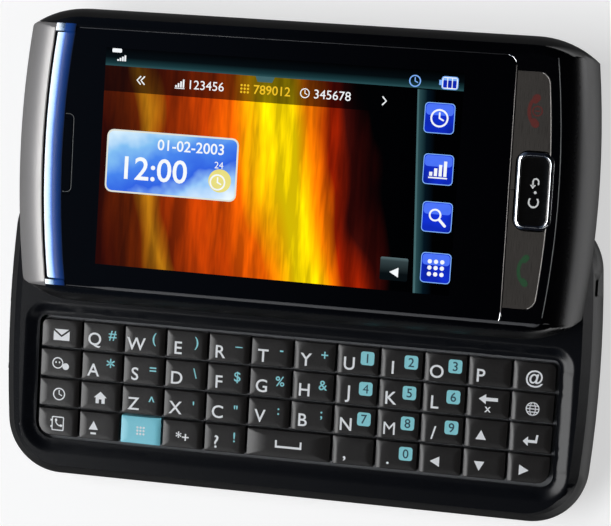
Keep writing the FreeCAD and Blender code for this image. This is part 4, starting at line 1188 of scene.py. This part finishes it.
# ------------------------------------------------------------------ trims
class PHONE_OT_trims(bpy.types.Operator):
    """Makes the chrome strip, the ear slot's line and the fine bright lines of the display half, among them a
    painted highlight along the lower shoulder
    """

    bl_idname = "phone.trims"
    bl_label = "Trims"

    line: length("Line", "Radius of the finest lines", 0.065 * MM)
    hook: length("Hook", "Radius of the hooks at the ends of the window's line", 1.7 * MM)
    hook_line: length("Hook line", "Radius of the line in the hooks", 0.15 * MM)
    # the pale line on the lower shoulder is a painted highlight where the shoulder catches light
    shoulder_line: length("Shoulder line", "Half width of the pale line on the lower shoulder", 0.38 * MM)
    bow: length("Bow", "Radius of the bowed ends", 172.0 * MM)
    panel_reach: length("Panel reach", "The bowed edges of the flat top on the middle line", 47.1 * MM)
    strip_width: length("Strip width", "Width of the chrome strip", 3.74 * MM)
    strip_fall: length("Strip fall", "How far it falls towards the end", 0.45 * MM)
    strip_high: length("Strip top", "Its upper end from the middle line", 24.1 * MM)
    strip_low: length("Strip bottom", "Its lower end from the middle line", 23.6 * MM)
    seam: length("Strip seam", "Where it leaves its groove and laps over the shoulders", 22.4 * MM)
    lap: length("Lap", "How far along the strip it rises out of its groove", 0.3 * MM)
    lap_air: length("Lap air", "Gap between the strip's ends and the shoulders", 0.03 * MM)
    strip_depth: length("Strip depth", "Thickness of the strip", 0.5 * MM)
    side: length("Side", "Half the width of the display half over its long sides", 26.8 * MM)
    shoulder: length("Shoulder", "Radius of its long shoulders", 5.0 * MM)
    crown: length("Crown", "Height of the shoulders' circle over the flat top", 0.45 * MM)
    fall_power: FloatProperty(name="Fall power", description="Power of the strip's fall across it",
                              default=2.2)
    crease: angle_setting("Crease", "Edges of the strip sharper than this stay sharp", 40)

    def strip(self, finishes, middle, top):
        """Chrome strip: X = arc of the bow's radius less the share across times the width, and
        Z = top less the fall times (1 - share) to the fall power. It lies on the long shoulders at its ends,
        where Z follows their circle."""
        share = np.linspace(0.0, 1.0, 25)
        seam = self.seam + self.lap * np.array([0.0, 0.5, 1.0])
        rel = np.unique(np.concatenate([np.linspace(-self.strip_low, self.strip_high, 97), -seam, seam]))
        inner = (self.bow - share * self.strip_width)[None, :]
        axis = self.bow - self.panel_reach
        x = axis - np.sqrt(inner ** 2 - rel[:, None] ** 2)
        past = np.maximum(np.abs(rel) - (self.side - self.shoulder), 0.0)
        circle = top + self.crown - self.shoulder + np.sqrt(self.shoulder ** 2 - past ** 2)
        over = np.minimum(top, circle) + self.lap_air
        drop = (1 - share) ** self.fall_power
        in_groove = (top - self.strip_fall * drop)[None, :]
        on_shoulder = over[:, None] + self.strip_fall / 2 * (1 - drop)[None, :]
        lap = np.clip((np.abs(rel) - self.seam) / self.lap, 0.0, 1.0)[:, None]
        z = in_groove * (1 - lap) + on_shoulder * lap
        y = np.broadcast_to((middle + rel)[:, None], x.shape)
        upper = np.stack([x, y, z], 2)
        lower = upper[:, ::-1] - [0.0, 0.0, self.strip_depth]
        points, faces = stack_rings(np.concatenate([upper, lower], 1))
        piece = add_piece("chrome_strip_bowed", points, faces,
                          [strip_material(finishes, axis, middle, self.bow, self.strip_width)])
        piece.data.set_sharp_from_angle(angle=self.crease)
        settle(piece, SLIDER, ["chrome_strip"])

    def lay(self, name, path, height, radius, material, flat=0.6):
        """A fine line on the flat top: a bead whose middle lies a quarter of its radius below the height."""
        points, faces = bead(at_height(path, height - np.max(radius) * 0.25), radius, flat)
        settle(add_piece(name, points, faces, [material]), SLIDER)

    def window_lines(self, window_low, window_high, chrome, grey, dim):
        """Lines along the window's far and right sides, with a bright hook at each end of the right one. A
        hook's radius swells with a sine along it."""
        middle = (window_low.y + window_high.y) / 2
        half = (window_high.y - window_low.y) / 2
        top = window_high.z
        edge = window_high.x + 0.14 * MM
        hook = self.hook
        far = half + 0.02 * MM
        tail_radius, tail_up = 2.6 * MM, 1.3 * MM
        bend = circle_path(edge - hook, half - hook, hook, 88, 0, 12)
        tail = circle_path(edge - tail_radius, tail_up - half, tail_radius, 12, -34, 12)
        along = np.array([[window_low.x + 2.2 * MM, far], [0.0, far], [edge - hook, half]])
        down = np.stack([np.full(9, edge), np.linspace(half - hook, 1.8 * MM - half, 9)], 1)
        swell = np.sin(np.linspace(0.15, 1.0, 12) * math.pi) * self.hook_line
        for name, path, radius, material in (
                ("window_top_line", along, self.line, dim), ("window_side_line", down, self.line * 1.3, grey),
                ("window_upper_hook", bend, np.maximum(swell, 0.5 * self.line), chrome),
                ("window_lower_hook", tail, np.maximum(swell * 1.3, 0.5 * self.line), chrome)):
            self.lay(name, path + [0.0, middle], top, radius, material)

    def plate_line(self, middle, top, pale):
        """Line round the right side of the end and send keys."""
        key_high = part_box("end_key")[1]
        plate_half = key_high.y - middle
        corner = 2.2 * MM
        rel = np.linspace(corner - plate_half, plate_half - corner, 41)
        side_line = np.stack([bow_x(key_high.x + 0.12 * MM, self.bow, rel), rel], 1)
        turn = circle_path(side_line[-1, 0] - corner, plate_half - corner, corner, 6, 70, 8)
        back = turn[::-1] * [1.0, -1.0]
        path = np.concatenate([back, side_line, turn])
        self.lay("key_plate_line", path + [0.0, middle], top, self.line * 1.5, pale)

    def edge_lines(self, middle, half, top, dim, edge_grey):
        """Painted highlight along the lower shoulder: a pale line which starts thin and ends in a rounded
        corner; and the line up the right end."""
        low = -half - 0.02 * MM
        start = -44.8 * MM
        rounding = 1.4 * MM
        right = float(bow_x(self.panel_reach + 0.1 * MM, self.bow, low + rounding))
        along = np.stack([np.linspace(start, right - rounding, 40), np.full(40, low)], 1)
        turn = circle_path(right - rounding, low + rounding, rounding, -86, -6, 14)
        rel = np.linspace(low + rounding, 23.4 * MM, 40)
        rise = np.stack([bow_x(self.panel_reach + 0.12 * MM, self.bow, rel), rel], 1)
        wide = self.shoulder_line
        sizes = np.concatenate([np.full(40, wide), np.linspace(wide, self.line * 1.2, 14)])
        sizes[:6] *= np.linspace(0.25, 1.0, 6)
        # painted highlight: a pale bead laid where the lower shoulder catches light
        self.lay("shoulder_line", np.concatenate([along, turn]) + [0.0, middle], top, sizes, dim, 0.35)
        self.lay("end_line", rise + [0.0, middle], top, self.line * 1.5, edge_grey)

    def slot_line(self, window_left, middle, top, edge_grey):
        """Line round the part of the ear slot that lies in the window."""
        slot = rounded_outline(window_left - 1.5 * MM, window_left + 1.85 * MM, -6.4 * MM, 7.8 * MM,
                               [0.9 * MM] * 4, arc=7, side=6)
        slot = slot[slot[:, 0] > window_left + 0.2 * MM]
        slot = slot[np.argsort(slot[:, 1], kind="stable")]
        self.lay("ear_slot_line", slot + [0.0, middle], top, self.line * 1.2, edge_grey)

    def execute(self, context):
        finishes = settings("finishes")
        window_low, window_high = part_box("touch_window")
        middle = (window_low.y + window_high.y) / 2
        half = (window_high.y - window_low.y) / 2
        top = window_high.z
        self.strip(finishes, middle, top)
        chrome = finish("trim_chrome", finishes.chrome, 0.12, metal=1.0, grain=0.3 * MM, mottle=0.03)
        grey = finish("trim_grey", (0.27, 0.25, 0.235), 0.32, metal=0.3, grain=0.3 * MM, mottle=0.05)
        dim = finish("trim_dim", (0.045, 0.046, 0.050), 0.55, grain=0.3 * MM, mottle=0.08)
        pale = finish("trim_pale", (0.38, 0.36, 0.34), 0.28, metal=0.3, grain=0.3 * MM, mottle=0.05)
        edge_grey = finish("trim_edge", (0.10, 0.105, 0.105), 0.45, metal=0.2, grain=0.3 * MM, mottle=0.05)
        self.window_lines(window_low, window_high, chrome, grey, dim)
        self.plate_line(middle, top, pale)
        self.edge_lines(middle, half, top, dim, edge_grey)
        self.slot_line(window_low.x, middle, top, edge_grey)
        return {"FINISHED"}


# ------------------------------------------------------------------ finishes of the CAD pieces
def strip_material(finishes, axis, middle, bow, width):
    """Bright metal on the strip's outer half and deep blue on its inner half, by the distance from the bow's
    axis. The blue is partly the strip's own lacquer and partly a painted reflection of a blue sky, and its
    darkening towards the inner edge is painted reflection too."""
    made = Recipe("strip_two_tone")
    wobble = made.between(made.noise(6 * MM), -0.02, 0.02)
    across = made.math("ADD", made.span(made.reach(axis, middle), bow, bow - width), wobble)
    blue = finishes.strip_blue
    # painted reflection: pale metal turns through blue to near black across the strip, as a bowed strip
    # mirrors a sky; only part of the blue is the lacquer's own tone
    made.colour(made.ramp(across, [
        (0.0, (0.24, 0.25, 0.27)), (0.22, (0.15, 0.18, 0.21)), (0.40, (0.08, 0.13, 0.21)), (0.50, blue),
        (0.78, shade(blue, 0.62)), (0.93, shade(blue, 0.35)), (1.0, (0.01, 0.015, 0.03))]))
    made.join(made.ramp(across, [(0.38, (1, 1, 1)), (0.52, BLACK)]), made.shader.inputs["Metallic"])
    made.rough(made.between(made.noise(0.3 * MM), 0.12, 0.20))
    made.shader.inputs["Specular IOR Level"].default_value = 0.22
    return made.material


def shell_material(tones, lower_edge, right_edge):
    """Polished black: smooth on the flat top, and softer below the window's lower edge and past the flat
    top's right edge, on the shoulders there."""
    made = Recipe("shell_gloss")
    fine = made.noise(0.5 * MM, 4.0)
    made.colour(made.mottled(fine, tones.shell, 0.85, 1.15))
    most = 0.30
    lower = made.span(made.axis("Y"), lower_edge - 0.6 * MM, lower_edge - 2.0 * MM, 0.0, most)
    right = made.span(made.axis("X"), right_edge, right_edge + 4.0 * MM, 0.0, most)
    made.rough(made.math("ADD", made.between(fine, 0.08, 0.12), made.math("MAXIMUM", lower, right)))
    made.shader.inputs["Specular IOR Level"].default_value = POLISH
    return made.material


def board_material():
    """Green board with lighter tracks."""
    made = Recipe("board_green")
    tracks = made.node("TexBrick")
    tracks.inputs["Scale"].default_value = 420.0
    tracks.inputs["Color1"].default_value = (0.004, 0.055, 0.022, 1)
    tracks.inputs["Color2"].default_value = (0.006, 0.070, 0.030, 1)
    tracks.inputs["Mortar"].default_value = (0.02, 0.15, 0.06, 1)
    made.join(made.spot, tracks.inputs["Vector"])
    made.colour(tracks.outputs["Color"])
    made.rough(made.between(made.noise(0.4 * MM), 0.3, 0.45))
    return made.material


def weave_material(name, dark, light, pitch):
    """Fine cloth or punched grille: two crossing waves."""
    made = Recipe(name)
    scale_of_one_metre = 0.31
    waves = []
    for direction in ("X", "Y"):
        wave = made.node("TexWave", bands_direction=direction)
        wave.inputs["Scale"].default_value = scale_of_one_metre / pitch
        made.join(made.spot, wave.inputs["Vector"])
        waves.append(wave.outputs["Fac"])
    cross = made.math("MULTIPLY", *waves)
    made.colour(made.ramp(cross, [(0.2, dark), (0.7, light)]))
    made.rough(0.6)
    made.bump(cross, 0.03 * MM)
    return made.material


# pieces of the CAD model that get a smooth copy: node, body and slot
SKINS = (("front_bezel", SLIDER, "gloss_plastic"), ("silver_end_cap", SLIDER, "silver_metal"),
         ("slider_back_case", SLIDER, "case_plastic"), ("keyboard_deck", BASE, "gloss_plastic"),
         ("base_rear_case", BASE, "case_plastic"))


def smooth_skin(name, body, material, crease):
    """Copy of a CAD piece with its points merged, smooth within the crease angle. At points on a level flat
    the normals of all faces within the crease angle point straight up or down, so that it mirrors evenly."""
    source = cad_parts[name]
    same_place = 0.0005 * MM
    upright_from = 0.9999
    work = bmesh.new()
    work.from_mesh(source.data)
    work.transform(source.matrix_world)
    bmesh.ops.remove_doubles(work, verts=work.verts, dist=same_place)
    mesh = bpy.data.meshes.new(name + "_skin")
    work.to_mesh(mesh)
    work.free()
    mesh.materials.clear()
    mesh.materials.append(material)
    mesh.polygons.foreach_set("material_index", np.zeros(len(mesh.polygons), np.int32))
    mesh.polygons.foreach_set("use_smooth", np.ones(len(mesh.polygons), bool))
    mesh.set_sharp_from_angle(angle=crease)
    count = len(mesh.loops)
    corner_normals = np.empty(count * 3)
    mesh.corner_normals.foreach_get("vector", corner_normals)
    corner_normals = corner_normals.reshape(-1, 3)
    points = np.empty(count, np.int32)
    mesh.loops.foreach_get("vertex_index", points)
    face_normals = np.empty(len(mesh.polygons) * 3)
    mesh.polygons.foreach_get("normal", face_normals)
    upright = np.repeat(face_normals.reshape(-1, 3)[:, 2], 3)
    for way in (1.0, -1.0):
        level = np.zeros(len(mesh.vertices), bool)
        level[points[upright * way > upright_from]] = True
        corner_normals[level[points] & (upright * way > math.cos(crease))] = (0.0, 0.0, way)
    mesh.normals_split_custom_set(corner_normals)
    piece = bpy.data.objects.new(name + "_skin", mesh)
    bpy.context.scene.collection.objects.link(piece)
    settle(piece, body, [name])


class PHONE_OT_finishes(bpy.types.Operator):
    """Gives every piece from the CAD model its finish, and smooth skins to the large ones"""

    bl_idname = "phone.finishes"
    bl_label = "Finishes"

    crease: angle_setting("Crease", "Edges of the skins sharper than this stay sharp", 24)

    def execute(self, context):
        tones = settings("finishes")
        window_low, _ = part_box("touch_window")
        shell = shell_material(tones, window_low.y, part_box("end_key")[1].x + 1.8 * MM)
        deck = finish("deck_satin", tones.deck, 0.25, grain=0.10 * MM, depth=0.003 * MM, mottle=0.12,
                      spread=0.05, gloss=0.28)
        case = finish("case_satin", tones.case, 0.42, grain=0.12 * MM, depth=0.010 * MM, mottle=0.12,
                      spread=0.06, gloss=SATIN)
        window = finish("window_black", (0.0004, 0.0004, 0.0007), 0.04, grain=0.5 * MM, mottle=0.2,
                        spread=0.01, gloss=POLISH)
        silver = finish("silver_satin", tones.silver, 0.40, metal=0.5, grain=0.07 * MM, depth=0.003 * MM,
                        mottle=0.05, spread=0.05)
        brushed = finish("plate_brushed", tones.brushed, 0.30, metal=0.55, grain=0.10 * MM, mottle=0.16,
                         stretch=(0.6, 30.0, 1.0), spread=0.05)
        chrome = finish("chrome_bright", tones.chrome, 0.08, metal=1.0, mottle=0.03, spread=0.02)
        steel = finish("steel_brushed", tones.steel, 0.30, metal=1.0, grain=0.10 * MM, mottle=0.12,
                       stretch=(20.0, 0.8, 1.0))
        rubber = finish("rubber_grey", (0.035, 0.034, 0.034), 0.65, grain=0.15 * MM, depth=0.010 * MM,
                        mottle=0.15)
        mat = finish("silicone_mat", (0.30, 0.31, 0.33), 0.55, grain=0.2 * MM, depth=0.006 * MM, mottle=0.08)
        sleeve = finish("battery_sleeve", (0.05, 0.07, 0.11), 0.40, grain=0.3 * MM, mottle=0.15)
        flex = finish("flex_amber", (0.28, 0.10, 0.012), 0.30, grain=0.5 * MM, mottle=0.12,
                      stretch=(0.5, 12.0, 1.0))
        glass = finish("lens_black", (0.003, 0.003, 0.006), 0.05, coat=0.8, mottle=0.2, spread=0.01)
        cell = finish("display_dark", (0.01, 0.012, 0.014), 0.25, grain=0.4 * MM, mottle=0.15)
        table = {
            "base_rear_case": case, "battery_cover": case, "slider_back_case": case, "keyboard_deck": deck,
            "front_bezel": shell, "touch_window": window, "silver_end_cap": silver,
            "chrome_strip": chrome, "end_key": brushed, "send_key": brushed, "clear_key": chrome,
            "slide_plate": steel, "slide_carriage": steel, "slide_spring": steel, "case_screws": steel,
            "key_mat": mat, "port_cover": rubber, "volume_rocker": case, "camera_key": case,
            "battery": sleeve, "display_flex": flex, "camera_module": glass, "display_module": cell,
            "main_board": board_material(), "earpiece": window,
            "loudspeaker": weave_material("speaker_cloth", (0.004, 0.004, 0.004), (0.06, 0.06, 0.06),
                                          0.4 * MM),
        }
        spare = finish("key_hidden", (0.03, 0.03, 0.03), 0.4)
        for name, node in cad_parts.items():
            chosen = table.get(name, spare)
            for slot in node.material_slots:
                slot.material = chosen
        for name, body, slot in SKINS:
            smooth_skin(name, body, table[name], self.crease)
        return {"FINISHED"}


# ------------------------------------------------------------------ stage
def area_lamp(name, at, size, radiance, tone):
    """Rectangular lamp that faces the phone: its power is pi times its area times its radiance."""
    lamp = bpy.data.lights.new(name, "AREA")
    lamp.shape = "RECTANGLE"
    lamp.size, lamp.size_y = size
    lamp.energy = math.pi * size[0] * size[1] * radiance
    lamp.color = tone
    holder = bpy.data.objects.new(name, lamp)
    bpy.context.scene.collection.objects.link(holder)
    holder.location = at
    holder.rotation_euler = (-Vector(at)).to_track_quat("-Z", "Y").to_euler()


# light of the sky at the X part of a direction, from -1 to 1
SKY = ((-1.0, (0.14, 0.16, 0.20)), (-0.60, (0.08, 0.10, 0.14)), (-0.34, (0.031, 0.043, 0.067)),
       (-0.12, (0.005, 0.006, 0.010)), (0.15, (0.0025, 0.003, 0.004)), (0.70, (0.006, 0.006, 0.007)),
       (0.94, (0.025, 0.025, 0.026)), (1.0, (2.9, 2.9, 2.95)))
# name, place, size, radiance and tint of each lamp; all face the phone
LAMPS = (("lamp_left", (-1.00, -0.15, 1.10), (1.6, 0.75), 6.0, (1.0, 1.0, 1.0)),
         ("lamp_front", (0.0, -0.75, 1.30), (2.0, 0.14), 1.0, (0.96, 0.98, 1.0)))


class PHONE_OT_stage(bpy.types.Operator):
    """Sets camera, floor, lamps and sky"""

    bl_idname = "phone.stage"
    bl_label = "Stage"

    floor_lift: factor("Floor lift", "Light that the floor adds for the camera alone", 0.60)
    floor_gap: length("Floor gap", "How far the floor lies below the phone's flat back", 0.02 * MM)
    bright_from: FloatVectorProperty(name="Bright from", size=2, unit="LENGTH", default=(0.052, 0.080),
                                     description="Where along X the mirrored floor turns bright")
    # painted shade: the darker colour that the floor takes in the phone's reflections on its left part
    mirrored_floor_painted_shade: colour("Mirrored floor", "Colour of the floor as the phone's left half mirrors it",
                           (0.13, 0.13, 0.13))

    def lay_floor(self, stage):
        """Flat square floor of pale matt white, a little lighter for the camera than its light makes it. As
        the phone mirrors it, the floor is painted darker on its left part, a painted shade, and glows on its
        right part past bright_from, a painted glow, to shape the phone's reflections.
        """
        reach = stage.floor_reach
        look = Recipe("floor_white")
        pale = look.mottled(look.noise(0.4), stage.floor, 0.995, 1.0)
        look.rough(0.9)
        path = look.node("LightPath")
        look.shader.inputs["Emission Color"].default_value = (1, 1, 1, 1)
        mirrored = path.outputs["Is Glossy Ray"]
        # painted glow: right of bright_from the floor shines for mirrored rays alone
        right = look.math("MULTIPLY", mirrored, look.span(look.axis("X"), *self.bright_from))
        # painted shade: left of it the floor takes the darker mirrored colour for mirrored rays alone
        look.colour(look.mix(look.math("SUBTRACT", mirrored, right), pale, self.mirrored_floor_painted_shade))
        look.join(look.math("MULTIPLY_ADD", path.outputs["Is Camera Ray"], self.floor_lift, right),
                  look.shader.inputs["Emission Strength"])
        level = -self.floor_gap
        corners = at_height(rectangle(-reach, reach, -reach, reach), level)
        add_piece("floor", corners, [(0, 1, 2, 3)], [look.material], smooth=False)

    def hang_sky(self, scene):
        """Dark overhead, pale towards +X and bluish towards -X, by the direction looked in."""
        world = bpy.data.worlds.new("sky")
        scene.world = world
        world.use_nodes = True
        tree = world.node_tree
        spot = tree.nodes.new("ShaderNodeTexCoord")
        split = tree.nodes.new("ShaderNodeSeparateXYZ")
        tree.links.new(spot.outputs["Generated"], split.inputs[0])
        span = tree.nodes.new("ShaderNodeMapRange")
        span.inputs["From Min"].default_value = -1.0
        tree.links.new(split.outputs["X"], span.inputs["Value"])
        ramp = tree.nodes.new("ShaderNodeValToRGB")
        ramp.color_ramp.interpolation = "EASE"
        set_stops(ramp, [((at + 1) / 2, tone) for at, tone in SKY])
        tree.links.new(span.outputs["Result"], ramp.inputs["Fac"])
        tree.links.new(ramp.outputs["Color"], tree.nodes["Background"].inputs["Color"])

    def execute(self, context):
        stage = settings("stage")
        scene = context.scene
        data = bpy.data.cameras.new("camera")
        data.sensor_width = 36.0
        data.lens = data.sensor_width * stage.focal_pixels / stage.picture_width
        data.clip_start = 0.01
        camera = bpy.data.objects.new("camera", data)
        scene.collection.objects.link(camera)
        back = -Vector(stage.camera_looks).normalized()
        side = Vector(stage.camera_up).cross(back).normalized()
        up = back.cross(side)
        turn = Matrix((side, up, back)).transposed().to_4x4()
        camera.matrix_world = Matrix.Translation(stage.camera_at) @ turn
        scene.camera = camera
        scene.view_settings.view_transform = "Standard"

        self.lay_floor(stage)
        self.hang_sky(scene)
        for name, at, size, radiance, tone in LAMPS:
            area_lamp(name, at, size, radiance, tone)
        return {"FINISHED"}


# ------------------------------------------------------------------ add-on
class PhoneSettings(bpy.types.PropertyGroup):
    """All settings of the slider phone."""

    keys: PointerProperty(type=KeySettings)
    screen: PointerProperty(type=ScreenSettings)
    finishes: PointerProperty(type=FinishSettings)
    stage: PointerProperty(type=StageSettings)


OPERATORS = (PHONE_OT_finishes, PHONE_OT_keys, PHONE_OT_screen, PHONE_OT_front_keys, PHONE_OT_trims,
             PHONE_OT_stage)


class PHONE_PT_panel(bpy.types.Panel):
    """Buttons and sizes of the slider phone"""

    bl_label = "Slider phone"
    bl_idname = "PHONE_PT_panel"
    bl_space_type = "VIEW_3D"
    bl_region_type = "UI"
    bl_category = "Phone"

    def draw(self, context):
        for operator in OPERATORS:
            self.layout.operator(operator.bl_idname)
        phone = context.scene.phone
        for group in (phone.keys, phone.screen, phone.finishes, phone.stage):
            box = self.layout.box()
            for name in group.__annotations__:
                box.prop(group, name)


CLASSES = (KeySettings, ScreenSettings, FinishSettings, StageSettings, PhoneSettings, *OPERATORS,
           PHONE_PT_panel)


def register():
    """Makes the classes and the scene's settings known to Blender."""
    for cls in CLASSES:
        bpy.utils.register_class(cls)
    bpy.types.Scene.phone = PointerProperty(type=PhoneSettings)


def unregister():
    """Takes the settings and the classes out again."""
    del bpy.types.Scene.phone
    for cls in reversed(CLASSES):
        bpy.utils.unregister_class(cls)


def main():
    """Makes every piece in turn."""
    register()
    for operator in OPERATORS:
        group, call = operator.bl_idname.split(".")
        getattr(getattr(bpy.ops, group), call)()


if __name__ == "__main__":
    main()
